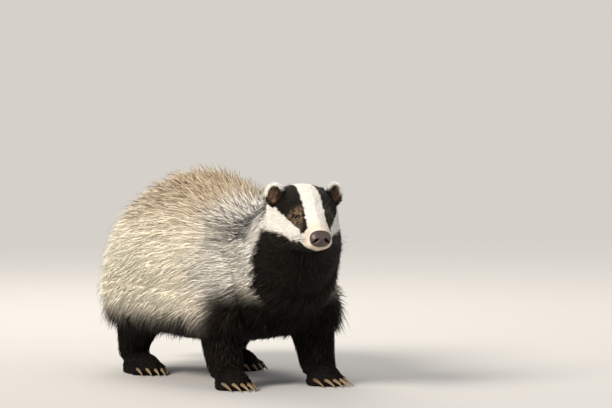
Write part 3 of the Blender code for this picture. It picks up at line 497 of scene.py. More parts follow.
def coordinates(mesh):
    """The mesh's vertices as rows of numbers."""
    found = np.empty(len(mesh.vertices) * 3)
    mesh.vertices.foreach_get("co", found)
    return found.reshape(-1, 3)


def normals_of(mesh):
    """The normals of the mesh's vertices as rows of numbers."""
    found = np.empty(len(mesh.vertices) * 3)
    mesh.vertex_normals.foreach_get("vector", found)
    return found.reshape(-1, 3)


def eye_places():
    """Each eye's middle and the way that it looks, as the solids have them."""
    turned = head_matrix().to_3x3()
    found = {}
    for side, hand in ((-1, "right"), (1, "left")):
        low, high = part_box(f"eye_{hand}")
        gaze = (turned @ Vector((side * EYE_GAZE.x, EYE_GAZE.y, EYE_GAZE.z))).normalized()
        found[hand] = ((low + high) / 2, gaze)
    return found


def mouth_line(tree):
    """Places along the closed mouth, from its right corner under the nose to its left."""
    face = head_matrix()
    points = []
    for share in np.linspace(-1, 1, 33):
        angle = MOUTH_ANGLE * share
        inside = face @ Vector((0, MOUTH_CENTRE, MOUTH_HEIGHT + MOUTH_RISE * abs(share) ** 1.5))
        way = face.to_3x3() @ Vector((math.sin(angle), -math.cos(angle), 0))
        points.append(tree.ray_cast(inside, way)[0])
    return points


def distance_to_line(places, points):
    """How far each place is from a line of points."""
    nearest = np.full(len(places), np.inf)
    for a, b in zip(points, points[1:]):
        a, b = np.array(a), np.array(b)
        t = np.clip((places - a) @ (b - a) / max((b - a) @ (b - a), 1e-12), 0, 1)
        nearest = np.minimum(nearest, np.linalg.norm(places - a - t[:, None] * (b - a), axis=1))
    return nearest


def modelled_face(obj):
    """Presses the line of the mouth, the lips and the hollows round the eyes into the skin."""
    tree = BVHTree.FromPolygons([v.co for v in obj.data.vertices], [tuple(f.vertices) for f in obj.data.polygons])
    FOUND["mouth"] = mouth_line(tree)
    places = coordinates(obj.data)
    normals = normals_of(obj.data)
    near = in_head(places)[:, 1] < 0.12
    spots = places[near]
    away = distance_to_line(spots, FOUND["mouth"])
    push = -0.0016 * np.exp(-(away / 0.0010) ** 2) + 0.0008 * np.exp(-((away - 0.0026) / 0.0014) ** 2)
    for middle, gaze in eye_places().values():
        offset = spots - np.array(middle)
        far = np.linalg.norm(offset - np.outer(offset @ np.array(gaze), np.array(gaze)), axis=1)
        push -= 0.0009 * np.exp(-((far - 0.0075) / 0.0022) ** 2)
        push += 0.0007 * np.exp(-((far - 0.0125) / 0.0026) ** 2)
    places[near] += normals[near] * push[:, None]
    # Behind the nose pad the skin is flat, so that it doesn't stand in the nostrils
    head = in_head(places)
    within = np.linalg.norm(((head - np.array(NOSE_CENTRE)) / np.array(NOSE_RADII))[:, (0, 2)], axis=1)
    push = np.clip(0.0128 - head[:, 1], 0, None) * smoothstep(1.12, 0.92, within)
    places += np.outer(push, HEAD_TO_MODEL[:3, 1])
    obj.data.vertices.foreach_set("co", places.ravel())
    obj.data.update()


def finer_face(obj):
    """Splits the skin's faces round eyes and muzzle, so that lids, lips and the edges of the stripes can be modelled."""
    bm = bmesh.new()
    bm.from_mesh(obj.data)
    middles = in_head(np.array([f.calc_center_median() for f in bm.faces]))
    edges = {e for f, (_, d, _) in zip(bm.faces, middles) if d < 0.105 for e in f.edges}
    bmesh.ops.subdivide_edges(bm, edges=list(edges), cuts=1, use_grid_fill=True)
    bmesh.ops.triangulate(bm, faces=bm.faces[:])
    soft = in_head(np.array([v.co for v in bm.verts]))[:, 1] < 0.105
    chosen = [v for v, inside in zip(bm.verts, soft) if inside]
    for _ in range(2):
        bmesh.ops.smooth_vert(bm, verts=chosen, factor=0.5, use_axis_x=True, use_axis_y=True, use_axis_z=True)
    bm.to_mesh(obj.data)
    bm.free()


def filled_hollows(obj):
    """Fills the hollows between head and neck and over the tail's root, where the real skin is one sweep."""
    bm = bmesh.new()
    bm.from_mesh(obj.data)
    for middle, reach in ((NAPE, 0.062), (TAIL_TOP, 0.045)):
        chosen = [v for v in bm.verts if (v.co - middle).length < reach]
        before = {v: v.co.copy() for v in chosen}
        for _ in range(40):
            bmesh.ops.smooth_vert(bm, verts=chosen, factor=0.5, use_axis_x=True, use_axis_y=True, use_axis_z=True)
        bm.normal_update()
        for v in chosen:
            share = 1 - (before[v] - middle).length / reach
            moved = v.co - before[v]
            # Only what moves outwards is kept, less and less towards the edge
            v.co = before[v] + moved * (min(1.0, 2.5 * share) if moved.dot(v.normal) > 0 else 0.25 * share)
    bm.to_mesh(obj.data)
    bm.free()


def ear_matrix(side):
    """From the ear's own frame, with its mouth towards -Y, to the model's."""
    place = EAR_PLACE.copy()
    place.x *= side
    turn = Matrix.Rotation(side * EAR_TURN, 4, "Z") @ Matrix.Rotation(-EAR_TILT, 4, "X")
    return head_matrix() @ Matrix.Translation(place) @ turn


def ear_cup(side, wall):
    """A short round cup, lofted from the rim over its back, and from the rim into its hollow."""
    rings = []
    for radii, forward in ((EAR_RADII * EAR_CUP - Vector((wall,) * 3), 0.0006), (EAR_RADII * EAR_CUP, 0.0)):
        bowl = []
        for turn in np.linspace(0.02, 0.96, 12):
            angle = math.pi * (0.5 + 0.5 * turn)
            bowl.append([Vector((radii.x * math.sin(angle) * math.cos(a),
                                 -radii.y * math.cos(angle) - EAR_RADII.y * 0.34 - forward,
                                 radii.z * math.sin(angle) * math.sin(a))) for a in np.linspace(0, 2 * math.pi, 40)[:-1]])
        rings = bowl[::-1] if not rings else rings + bowl
    bm = loft(rings)
    bmesh.ops.transform(bm, matrix=ear_matrix(side), verts=bm.verts[:])
    bmesh.ops.recalc_face_normals(bm, faces=bm.faces[:])
    return bm


def lid_rims(middle, gaze, eye_radius, radius):
    """Upper and lower lid as one rim round the opening, thicker above than below."""
    up = head_matrix().to_3x3() @ Vector((0, 0, 1))
    side = gaze.cross(up).normalized()
    level = side.cross(gaze).normalized()
    points, radii = [], []
    for k in range(36):
        angle = 2 * math.pi * k / 36
        offset = side * LID_HALF_WIDTH * math.cos(angle) + level * LID_HALF_HEIGHT * math.sin(angle)
        points.append(middle + offset + gaze * math.sqrt(max(0.0, (eye_radius + 0.0009) ** 2 - offset.length_squared)))
        radii.append(radius * (1.12 if math.sin(angle) > 0 else 0.92))
    return tube(points, radii, gaze, closed=True, sides=12)


def streaks(places, width, seed):
    """Uneven streaks between -1 and 1, this wide and six times as long, which follow the hair of the trunk."""
    x, y, z = np.abs(places[:, 0]), places[:, 1], places[:, 2]
    drop = math.radians(14) + math.radians(30) * np.minimum(1.0, x / FLANK_HALF_WIDTH)
    across, along = y * np.sin(drop) + z * np.cos(drop), y * np.cos(drop) - z * np.sin(drop)
    return patches(np.stack([x, across, along / 6], axis=1), width, seed)


def in_ears(places):
    """Places in the nearer ear's frame, as shares of its radii with +X away from the head, and how far off each is."""
    best = None
    for side in (-1, 1):
        to_ear = np.array(ear_matrix(side).inverted())
        spots = (places @ to_ear[:3, :3].T + to_ear[:3, 3]) / np.array(EAR_RADII) * (side, 1, 1)
        far = np.linalg.norm(spots * (1.0, 0.75, 1.0), axis=1)
        if best is None:
            best, nearest = spots, far
        else:
            closer = far < nearest
            best = np.where(closer[:, None], spots, best)
            nearest = np.minimum(far, nearest)
    return best, nearest


def in_cup(spots):
    """How much each place is within the ear's hollow, and not on its back."""
    return smoothstep(0.93, 0.86, np.linalg.norm(spots + (0.0, 0.34, 0.0), axis=1))


def ear_marks(spots, settings):
    """Brown in the cup, black on its back and low edge, and a white rim over its top and outer side."""
    white, black, brown = (np.array(getattr(settings, name)) for name in ("white", "black", "ear_brown"))
    out = np.sqrt(spots[:, 0] ** 2 + spots[:, 2] ** 2) + 0.05 * patches(spots, 0.35, 5)
    inside = in_cup(spots) * (0.12 + 0.88 * smoothstep(-0.35, 0.35, spots[:, 0] + 0.25 * patches(spots, 0.5, 6)))
    inside *= 1 - smoothstep(0.60, 0.80, out) * smoothstep(0.3, -0.1, spots[:, 2])
    colour = black + (brown - black) * inside[:, None]
    rim = smoothstep(0.58, 0.70, out) * smoothstep(-0.10, 0.35, spots[:, 2] + 0.45 * spots[:, 0])
    rim *= smoothstep(0.30, 0.00, spots[:, 1])
    return colour + (white - colour) * rim[:, None]


def head_marks(head, settings):
    """White fur with a black stripe through each eye and ear, brown round the eyes, and a black throat."""
    x, d, z = np.abs(head[:, 0]), head[:, 1], head[:, 2]
    white, black, brown = (np.array(getattr(settings, name)) for name in ("white", "black", "brown"))
    ragged = 0.0012 * patches(head, 0.012, 3)
    low = np.interp(d, (0.024, 0.029, 0.031, 0.040, 0.043, 0.048, 0.059, 0.071, 0.090, 0.112, 0.135, 0.17),
                    (0.030, 0.0135, 0.0052, -0.0010, 0.0010, 0.0058, 0.0070, 0.0112, 0.0178, 0.0218, 0.0200, 0.0100))
    inner = np.interp(d, (0.030, 0.060, 0.090, 0.130), (0.0172, 0.0160, 0.0165, 0.0150))
    stripe = smoothstep(-0.0009, 0.0009, x - inner + ragged) * smoothstep(-0.0009, 0.0009, z - low + ragged)
    throat_top = np.interp(d, (0.025, 0.035, 0.050, 0.060, 0.073, 0.080, 0.099, 0.140, 0.170),
                           (-0.0202, -0.0188, -0.0152, -0.0185, -0.0205, -0.0150, -0.0139, -0.0257, -0.0330))
    soft = np.interp(d, (0.040, 0.080), (0.0014, 0.0036))
    throat = smoothstep(-1, 1, (throat_top - z + 2 * ragged) / soft)
    brown_ring = 1 - smoothstep(0.0700, 0.0930, d + 0.35 * z + 3 * ragged)
    brown_ring *= smoothstep(0.0000, 0.0050, x - inner + ragged) * smoothstep(-0.0010, 0.0040, z - low + ragged)
    # The brown round the eyes is the fur's own colour, but it is painted weaker on the left side (+X), as painted shade
    # on the side away from the light
    brown_ring *= np.where(head[:, 0] < 0, 0.85, 0.30) * np.clip(0.72 + 1.00 * patches(head, 0.0050, 15), 0.0, 1.3)
    brown_ring *= smoothstep(0.034, 0.060, d + 2 * ragged)
    colour = white + (black - white) * stripe[:, None]
    colour += (brown - colour) * (brown_ring * stripe)[:, None]
    colour += (black * 1.1 - colour) * throat[:, None]
    colour += (brown - colour) * (1.6 * throat * (1 - throat) * smoothstep(0.045, 0.075, d))[:, None]
    warm = smoothstep(0.045, 0.010, d) * (1 - stripe) * (1 - throat)
    colour += (np.array(linear("#E2C3A6")) - colour) * (0.55 * warm)[:, None]
    return colour


def marks(places, settings):
    """The markings of skin and coat at each place: the colour, and how strongly the hairs are banded there."""
    q = places - np.array(BODY_SHIFT)
    head = in_head(places)
    x, y, z = np.abs(q[:, 0]), q[:, 1], q[:, 2]
    cream, white, fawn, slate, black = (
        np.array(getattr(settings, name)) for name in ("cream", "white", "fawn", "slate", "black")
    )
    uneven = patches(q, 0.055, 7)
    fine = patches(q, 0.016, 8)
    streak = streaks(q, 0.0130, 9)
    back = smoothstep(0.215, 0.335, z + 0.014 * uneven + 0.010 * streak)
    colour = cream + (fawn - cream) * (0.90 * back)[:, None]
    banded = (0.12 + 1.10 * back) * np.clip(0.80 + 0.90 * streaks(q, 0.0050, 11) + 0.35 * streak, 0.0, 1.7)
    # The white band runs from the cheek down the side of the neck, with the slate band behind it
    band_front = np.interp(z, (0.209, 0.259, 0.310), (-0.215, -0.259, -0.300)) + 0.006 * fine
    band_back = np.interp(z, (0.218, 0.286, 0.310), (-0.183, -0.242, -0.262)) + 0.006 * fine
    slate_back = np.interp(z, (0.200, 0.229, 0.260, 0.280, 0.293), (-0.067, -0.077, -0.075, -0.092, -0.160))
    behind = (y - band_back) / np.maximum(slate_back - band_back, 0.030)
    ahead = np.maximum(smoothstep(-0.10, 0.06, behind), smoothstep(0.285, 0.305, z))
    slaty = ahead * (1 - smoothstep(0.55, 1.25, behind + 0.25 * streak + 0.1 * uneven))
    slaty *= 0.16 + 0.84 * smoothstep(0.210, 0.258, z + 0.006 * streak)
    slaty *= 0.55 + 0.45 * smoothstep(0.020, 0.060, x)
    slaty *= 0.62 + 0.38 * np.maximum(smoothstep(0.05, 0.50, behind), smoothstep(0.255, 0.280, z))
    slaty = np.clip(slaty * (0.85 + 0.9 * streaks(q, 0.0050, 13)), 0, 1)
    # Between the dark streaks of the band and over the withers the hair is greyer than on the flank
    greyer = ahead * (1 - smoothstep(0.60, 1.50, behind)) * smoothstep(0.120, 0.170, z)
    withers = smoothstep(0.010, -0.085, y) * smoothstep(0.240, 0.275, z + 0.006 * streak)
    colour += (white * 0.92 - colour) * np.maximum(0.75 * greyer, 0.90 * withers)[:, None]
    banded = np.maximum(banded, 1.15 * withers)
    colour += (slate - colour) * (0.95 * slaty)[:, None]
    banded = banded + (0.70 - banded) * slaty
    pale = smoothstep(-0.006, 0.006, y - band_front) * (1 - smoothstep(-0.010, 0.008, y - band_back))
    pale *= smoothstep(0.150, 0.195, z) * (1 - smoothstep(0.285, 0.312, z)) * smoothstep(0.030, 0.050, x)
    front = 1 - smoothstep(-0.006, 0.006, y - band_front)
    chest = np.maximum(front * (z < 0.285), (1 - smoothstep(-0.150, -0.110, y)) * (1 - smoothstep(0.130, 0.185, z)))
    under = 1 - smoothstep(0.085, 0.125, z + 0.008 * fine)
    dark = np.maximum(chest, under)
    colour += (black - colour) * dark[:, None]
    banded *= 1 - dark
    colour += (white - colour) * pale[:, None]
    banded *= 1 - pale
    tail = smoothstep(0.0, 0.03, (q - np.array(TAIL_ROOT + TAIL_CUT)) @ np.array(TAIL_WAY)) * (q[:, 1] > 0.270)
    colour += (cream - colour) * tail[:, None]
    banded += (0.25 - banded) * tail
    face = 1 - smoothstep(0.150, 0.178, head[:, 1] + 0.004 * fine)
    face *= 1 - smoothstep(0.09, 0.11, np.linalg.norm(head[:, (0, 2)], axis=1))
    colour += (head_marks(head, settings) - colour) * face[:, None]
    spots, from_ear = in_ears(places)
    on_ear = (from_ear < EAR_REACH).astype(float)
    colour += (ear_marks(spots, settings) - colour) * on_ear[:, None]
    banded *= (1 - face) * (1 - on_ear)
    return colour, np.clip(banded, 0, 1.2)


def add_node(tree, kind, inputs=None, stops=(), **settings):
    """Adds a node with its settings, its inputs' values and links, and a ramp's stops."""
    node = tree.nodes.new(kind)
    for name, value in settings.items():
        setattr(node, name, value)
    for k, (place, colour) in enumerate(stops):
        element = node.color_ramp.elements[k] if k < 2 else node.color_ramp.elements.new(place)
        element.position = place
        element.color = (*colour, 1.0)
    for name, value in (inputs or {}).items():
        if isinstance(value, bpy.types.NodeSocket):
            tree.links.new(value, node.inputs[name])
        else:
            node.inputs[name].default_value = value
    return node


def new_material(name, **inputs):
    """A material with one shader, whose inputs are given by their names. Returns it with its tree and shader."""
    material = bpy.data.materials.new(name)
    material.use_nodes = True
    tree = material.node_tree
    tree.nodes.clear()
    shader = add_node(tree, "ShaderNodeBsdfPrincipled", {key.replace("_", " "): value for key, value in inputs.items()})
    add_node(tree, "ShaderNodeOutputMaterial", {"Surface": shader.outputs["BSDF"]})
    return material, tree, shader


def fur_material(name, strands, grizzle):
    """Badger hair: dull keratin strands with a soft sheen, in the coat's markings, the guard hairs with a dark band."""
    material, tree, shader = new_material(name, Roughness=0.65, Specular_IOR_Level=0.10)
    colour = add_node(tree, "ShaderNodeAttribute", attribute_name="fur_colour")
    across = add_node(tree, "ShaderNodeUVMap", uv_map="Strands")
    # Real hairs are 0.1 mm thick. These strands are about 0.3 mm, the finest that a close view shows
    stretched = add_node(tree, "ShaderNodeMapping", {"Vector": across.outputs["UV"], "Scale": (strands, 0.35, 1.0)})
    noise = add_node(tree, "ShaderNodeTexNoise", {"Vector": stretched.outputs["Vector"], "Scale": 1.0, "Detail": 3.0})
    tone = add_node(tree, "ShaderNodeMapRange", {"Value": noise.outputs["Fac"], "From Min": 0.25, "From Max": 0.75,
                                                 "To Min": 0.88, "To Max": 1.12})
    # The band is about 10 mm long, and each strand has it a little higher or lower than the next
    along = add_node(tree, "ShaderNodeSeparateXYZ", {"Vector": across.outputs["UV"]})
    middle = add_node(tree, "ShaderNodeAttribute", attribute_name="band_place")
    strength = add_node(tree, "ShaderNodeAttribute", attribute_name="band_strength")
    moved = add_node(tree, "ShaderNodeMath", {0: noise.outputs["Fac"], 1: 0.30, 2: along.outputs["Y"]},
                     operation="MULTIPLY_ADD")
    from_band = add_node(tree, "ShaderNodeMath", {0: moved.outputs["Value"], 1: middle.outputs["Fac"]},
                         operation="SUBTRACT")
    apart = add_node(tree, "ShaderNodeMath", {0: from_band.outputs["Value"]}, operation="ABSOLUTE")
    band = add_node(tree, "ShaderNodeMapRange", {"Value": apart.outputs["Value"], "From Min": 0.10, "From Max": 0.18,
                                                 "To Min": 1.0, "To Max": 0.0})
    dark = add_node(tree, "ShaderNodeMath", {0: band.outputs["Result"], 1: strength.outputs["Fac"]},
                    operation="MULTIPLY")
    # Sockets 0, 6 and 7 of a colour mix are its factor and its two colours
    mixed = add_node(tree, "ShaderNodeMix", {0: dark.outputs["Value"], 6: colour.outputs["Color"],
                                             7: (*grizzle, 1.0)}, data_type="RGBA")
    shade = add_node(tree, "ShaderNodeVectorMath", {0: mixed.outputs[2], 1: tone.outputs["Result"]},
                     operation="MULTIPLY")
    tree.links.new(shade.outputs["Vector"], shader.inputs["Base Color"])
    bump = add_node(tree, "ShaderNodeBump", {"Height": noise.outputs["Fac"], "Strength": 0.35, "Distance": 0.0002})
    tree.links.new(bump.outputs["Normal"], shader.inputs["Normal"])
    return material


def skin_material():
    """Skin under short flat fur: matt, in the coat's markings, with fine hairs lying over it as bump."""
    material, tree, shader = new_material("short fur over skin", Roughness=0.75, Specular_IOR_Level=0.12)
    colour = add_node(tree, "ShaderNodeAttribute", attribute_name="fur_colour")
    place = add_node(tree, "ShaderNodeTexCoord")
    # Short hairs of about 0.5 mm by 4 mm, drawn coarser than the real 0.1 mm so that they show
    stretched = add_node(tree, "ShaderNodeMapping", {"Vector": place.outputs["Object"], "Scale": (1900, 260, 900)})
    noise = add_node(tree, "ShaderNodeTexNoise", {"Vector": stretched.outputs["Vector"], "Scale": 1.0, "Detail": 4.0})
    tone = add_node(tree, "ShaderNodeMapRange", {"Value": noise.outputs["Fac"], "From Min": 0.3, "From Max": 0.7,
                                                 "To Min": 0.70, "To Max": 1.10})
    shade = add_node(tree, "ShaderNodeVectorMath", {0: colour.outputs["Color"], 1: tone.outputs["Result"]},
                     operation="MULTIPLY")
    tree.links.new(shade.outputs["Vector"], shader.inputs["Base Color"])
    bump = add_node(tree, "ShaderNodeBump", {"Height": noise.outputs["Fac"], "Strength": 0.6, "Distance": 0.0005})
    tree.links.new(bump.outputs["Normal"], shader.inputs["Normal"])
    return material


def write_colours(mesh, colours):
    """Stores the coat's colour for each vertex."""
    layer = mesh.attributes.new("fur_colour", "FLOAT_COLOR", "POINT")
    filled = np.ones((len(colours), 4), np.float32)
    filled[:, :3] = np.clip(colours, 0.0, 1.0)
    layer.data.foreach_set("color", filled.ravel())


def write_values(mesh, name, values):
    """Stores a number for each vertex."""
    layer = mesh.attributes.new(name, "FLOAT", "POINT")
    layer.data.foreach_set("value", np.asarray(values, np.float32))


def dressed(obj, material, replaced=()):
    """Gives a finished piece its material and smooth shading, hangs it on the body's root, and hides the model's parts
    that it stands for.
    """
    obj.data.materials.clear()
    obj.data.materials.append(material)
    obj.data.shade_smooth()
    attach(obj, "root")
    if replaced:
        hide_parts(*replaced)
    return obj


class Surface:
    """The skin as arrays: its triangles, their sizes, normals and unwrap, and what finds the nearest place on it."""

    def __init__(self, mesh):
        mesh.calc_loop_triangles()
        count = len(mesh.loop_triangles)
        corners = np.empty(count * 3, np.int32)
        mesh.loop_triangles.foreach_get("vertices", corners)
        loops = np.empty(count * 3, np.int32)
        mesh.loop_triangles.foreach_get("loops", loops)
        flat = np.empty(len(mesh.loops) * 2)
        mesh.uv_layers["OFBake"].uv.foreach_get("vector", flat)
        self.corners = corners.reshape(-1, 3)
        self.places = coordinates(mesh)
        self.normals = normals_of(mesh)
        self.face_normals = unit(self.normals[self.corners].sum(axis=1))
        self.unwrap = flat.reshape(-1, 2)[loops].reshape(-1, 3, 2)
        points = self.places[self.corners]
        self.areas = np.linalg.norm(np.cross(points[:, 1] - points[:, 0], points[:, 2] - points[:, 0]), axis=1) / 2
        self.middles = points.mean(axis=1)
        self.tree = BVHTree.FromPolygons(self.places.tolist(), self.corners.tolist())

    def nearest(self, places):
        """The nearest skin to each place, and its normal there."""
        spots, found = np.empty_like(places), np.empty(len(places), np.int64)
        for k, place in enumerate(places.tolist()):
            spot, _, index, _ = self.tree.find_nearest(place)
            spots[k] = spot
            found[k] = index
        return spots, self.face_normals[found]

    def scattered(self, weights, rng):
        """Roots spread evenly over the skin, as many to each triangle as its weight says."""
        expected = np.cumsum(weights)
        count = int(expected[-1])
        picks = (np.arange(count) + rng.random(count)) * expected[-1] / count
        chosen = np.minimum(np.searchsorted(expected, picks), len(weights) - 1)
        a, b = rng.random(count), rng.random(count)
        over = a + b > 1
        a[over], b[over] = 1 - a[over], 1 - b[over]
        shares = np.stack([1 - a - b, a, b], axis=1)[:, :, None]
        places = (self.places[self.corners[chosen]] * shares).sum(axis=1)
        normals = unit((self.normals[self.corners[chosen]] * shares).sum(axis=1))
        unwrapped = (self.unwrap[chosen] * shares).sum(axis=1)
        return places, normals, unwrapped


def skin_surface():
    """The finished skin as arrays, made once."""
    skin = bpy.data.objects.get("skin")
    if skin is None:
        raise RuntimeError("make the skin first")
    if "skin" not in FOUND:
        FOUND["skin"] = Surface(skin.data)
    return FOUND["skin"]


def zones(places):
    """How much each place belongs to muzzle, crown, cheek, neck, trunk, belly, legs, feet, tail and ears."""
    q = places - np.array(BODY_SHIFT)
    head = in_head(places)
    x, y, z = np.abs(q[:, 0]), q[:, 1], q[:, 2]
    ear = (in_ears(places)[1] < EAR_REACH).astype(float)
    on_head = (1 - smoothstep(0.140, 0.172, head[:, 1])) * (np.linalg.norm(head, axis=1) < 0.19) * (1 - ear)
    muzzle = on_head * (1 - smoothstep(0.045, 0.100, head[:, 1]))
    cheek = (on_head - muzzle) * smoothstep(-0.002, -0.030, head[:, 2])
    crown = on_head - muzzle - cheek
    rest = 1 - on_head - ear
    tail = rest * smoothstep(-0.002, 0.020, (q - np.array(TAIL_ROOT + TAIL_CUT)) @ np.array(TAIL_WAY))
    tail *= q[:, 1] > 0.270
    rest = rest - tail
    foot = rest * (1 - smoothstep(0.026, 0.044, z))
    rest = rest - foot
    at_leg = np.minimum(np.abs(y + 0.118), np.abs(y - 0.176))
    leg = rest * np.maximum(
        (1 - smoothstep(0.095, 0.135, z)) * (1 - smoothstep(0.045, 0.072, at_leg)) * smoothstep(0.030, 0.050, x),
        1 - smoothstep(0.058, 0.068, z),
    )
    rest = rest - leg
    belly = rest * (1 - smoothstep(0.085, 0.120, z))
    rest = rest - belly
    neck = rest * (1 - smoothstep(-0.215, -0.120, y))
    return np.stack([muzzle, crown, cheek, neck, rest - neck, belly, leg, foot, tail, ear])


def lie(places, normals):
    """Which way the hair lies on the skin at each place."""
    q = places - np.array(BODY_SHIFT)
    head = in_head(places)
    share = zones(places)
    out = np.minimum(1.0, np.abs(q[:, 0]) / FLANK_HALF_WIDTH)
    drop = LIE_DROP_SPINE + (LIE_DROP_FLANK - LIE_DROP_SPINE) * out**1.5
    back = np.stack([0 * drop, np.cos(drop), -np.sin(drop)], axis=1)
    side = np.sign(head[:, 0])
    blank = np.zeros(len(places))
    turned = HEAD_TO_MODEL[:3, :3].T
    over_face = np.stack([0.30 * side, blank + 1.0, -0.15 + blank], axis=1) @ turned
    over_crown = np.stack([0.12 * side, blank + 1.0, blank], axis=1) @ turned
    over_cheek = np.stack([0.05 * side, blank + 0.9, -0.45 + blank], axis=1) @ turned
    down_neck = np.stack([0.10 * np.sign(q[:, 0]), blank + 0.85, -0.15 - 0.55 * out], axis=1)
    under = np.tile((0.0, 0.9, -0.35), (len(places), 1))
    down_leg = np.tile((0.0, 0.22, -1.0), (len(places), 1))
    over_foot = np.tile((0.0, -1.0, -0.40), (len(places), 1))
    along_tail = np.tile(np.array(TAIL_WAY), (len(places), 1))
    spots, _ = in_ears(places)
    to_rim = spots * (1.0, 0.0, 1.0) + (0.0, 0.0, 0.5)
    up_ear = np.where(side[:, None] < 0, (to_rim * (-1.0, 1.0, 1.0)) @ np.array(ear_matrix(-1))[:3, :3].T,
                      to_rim @ np.array(ear_matrix(1))[:3, :3].T)
    ways = np.stack([over_face, over_crown, over_cheek, down_neck, back, under, down_leg, over_foot, along_tail,
                     up_ear])
    way = (ways * share[:, :, None]).sum(axis=0)
    way -= normals * (way * normals).sum(axis=1, keepdims=True)
    return unit(way)


def turned_about(ways, normals, angles):
    """Ways turned about their normals by these angles."""
    across = np.cross(normals, ways)
    return ways * np.cos(angles)[:, None] + across * np.sin(angles)[:, None]


def tuft_paths(surface, roots, normals, lengths, lifts, turns, shares, free):
    """For each tuft, its places from root to tip along the skin, or straight on where it is free, and the way up."""
    place, normal = roots, normals
    steps = [(place, normal, turned_about(lie(place, normal), normal, turns))]
    for before, after in zip(shares, shares[1:]):
        way = turned_about(lie(place, normal), normal, turns)
        onward = place + way * (lengths * (after - before))[:, None]
        on_skin, bent = surface.nearest(onward)
        place, normal = np.where(free[:, None], onward, on_skin), np.where(free[:, None], normal, bent)
        steps.append((place, normal, way))
    heights = [lifts * share**0.8 - 0.0012 * (share == 0) for share in shares]
    centres = np.stack([place + normal * high[:, None] for (place, normal, _), high in zip(steps, heights)], axis=1)
    up = np.stack([normal for _, normal, _ in steps], axis=1)
    return centres, up


def tuft_solids(centres, up, widths, depths, profile):
    """Closed tapered tufts with three-sided sections, as vertices and triangles, all pointing outwards."""
    count, sections = len(centres), centres.shape[1] - 1
    along = np.empty_like(centres)
    along[:, 1:-1] = centres[:, 2:] - centres[:, :-2]
    along[:, 0] = centres[:, 1] - centres[:, 0]
    along[:, -1] = centres[:, -1] - centres[:, -2]
    along = unit(along)
    side = unit(np.cross(along, up))
    level = np.cross(side, along)
    wide = widths[:, None, None] / 2 * np.array(profile)[None, :, None]
    deep = depths[:, None, None] * np.array(profile)[None, :, None]
    body, side, level = centres[:, :-1], side[:, :-1], level[:, :-1]
    rings = np.stack([body + side * wide, body + level * deep, body - side * wide], axis=2)
    vertices = np.concatenate([rings.reshape(count, -1, 3), centres[:, -1:]], axis=1)
    faces = [(0, 1, 2)]
    for k in range(sections - 1):
        for j in range(3):
            a, b = 3 * k + j, 3 * k + (j + 1) % 3
            faces += [(a, b + 3, b), (a, a + 3, b + 3)]
    last, tip = 3 * (sections - 1), 3 * sections
    for j in range(3):
        faces.append((last + j, tip, last + (j + 1) % 3))
    per = 3 * sections + 1
    triangles = np.array(faces)[None] + (np.arange(count) * per)[:, None, None]
    return vertices.reshape(-1, 3), triangles.reshape(-1, 3), per


def mesh_of(name, vertices, triangles):
    """A mesh of these triangles."""
    mesh = bpy.data.meshes.new(name)
    mesh.vertices.add(len(vertices))
    mesh.vertices.foreach_set("co", vertices.astype(np.float32).ravel())
    mesh.loops.add(3 * len(triangles))
    mesh.loops.foreach_set("vertex_index", triangles.astype(np.int32).ravel())
    mesh.polygons.add(len(triangles))
    mesh.polygons.foreach_set("loop_start", np.arange(0, 3 * len(triangles), 3, dtype=np.int32))
    mesh.update(calc_edges=True)
    return mesh


def write_unwrap(mesh, name, unwrapped, triangles):
    """A UV map from one place for each vertex."""
    layer = mesh.uv_layers.new(name=name)
    layer.uv.foreach_set("vector", unwrapped[triangles.ravel()].astype(np.float32).ravel())


def tuft_colours(seen, settings, rng, shares):
    """The colour of each tuft at each of its sections, and the strength and place of its dark band."""
    colour, banded = marks(seen, settings)
    count = len(seen)
    tone = rng.normal(1.0, 0.09, count)[:, None]
    strength = np.clip(banded * rng.uniform(0.50, 1.50, count), 0, 1)
    strength *= np.where(rng.random(count) < 0.20, 0.15, 1.0)
    # Some of the hairs are worn down to the band, and the others keep their pale tips. 0.15 is for the strands' mean
    place = 0.15 + np.where(rng.random(count) < 0.40, rng.uniform(0.88, 1.00, count), rng.uniform(0.55, 0.82, count))
    # Some black tufts are mixed towards brown: partly the hair's own dark brown, partly painted glints of light on
    # black fur
    brown_and_glint = np.clip(0.10 - colour.mean(axis=1), 0, 0.10)[:, None] * 1.0 * rng.random(count)[:, None] ** 2
    colour = colour + (np.array(settings.brown) - colour) * brown_and_glint
    # Painted shade: each tuft is darker towards its root, where it lies under other hair, and its tip is a little paler
    root_shade_and_pale_tip = np.interp(shares, (0.0, 0.4, 1.0), (0.82, 1.0, 1.06))
    return colour[:, None] * tone[:, None] * root_shade_and_pale_tip[None, :, None], strength, place


def well_laid(centres, lengths, roots):
    """Which tufts to keep: those that run on smoothly, and don't grow in the nose, the lips, the eyes or the floor."""
    first, second = centres[:, 1] - centres[:, 0], centres[:, -1] - centres[:, -2]
    at_tail = np.linalg.norm(roots - np.array(TAIL_TOP), axis=1) < 0.060
    smooth = (unit(first) * unit(second)).sum(axis=1) > np.where(at_tail, 0.88, 0.72)
    smooth &= np.linalg.norm(centres[:, -1] - centres[:, 0], axis=1) > 0.55 * lengths
    nose = (in_head(roots) - np.array(NOSE_CENTRE)) / (np.array(NOSE_RADII) * 1.03)
    clear = np.linalg.norm(nose, axis=1) > 1
    for middle, _ in eye_places().values():
        clear &= np.linalg.norm(roots - np.array(middle), axis=1) > 0.0072
    return smooth & clear & (roots[:, 2] > 0.0015)


def zone_lengths(settings):
    """How long the hair of each zone is."""
    return (settings.face_length, settings.crown_length, settings.cheek_length, settings.neck_length,
            settings.trunk_length, settings.belly_length, settings.leg_length, settings.paw_length,
            settings.tail_length, settings.ear_length)


def zone_lifts(settings):
    """How high the tips of each zone's hair stand over the skin."""
    return (0.0010, 0.0018, 0.0030, settings.nape_depth, settings.trunk_depth, 0.0070, LEG_DEPTH, 0.0016,
            settings.tail_depth, 0.0014)


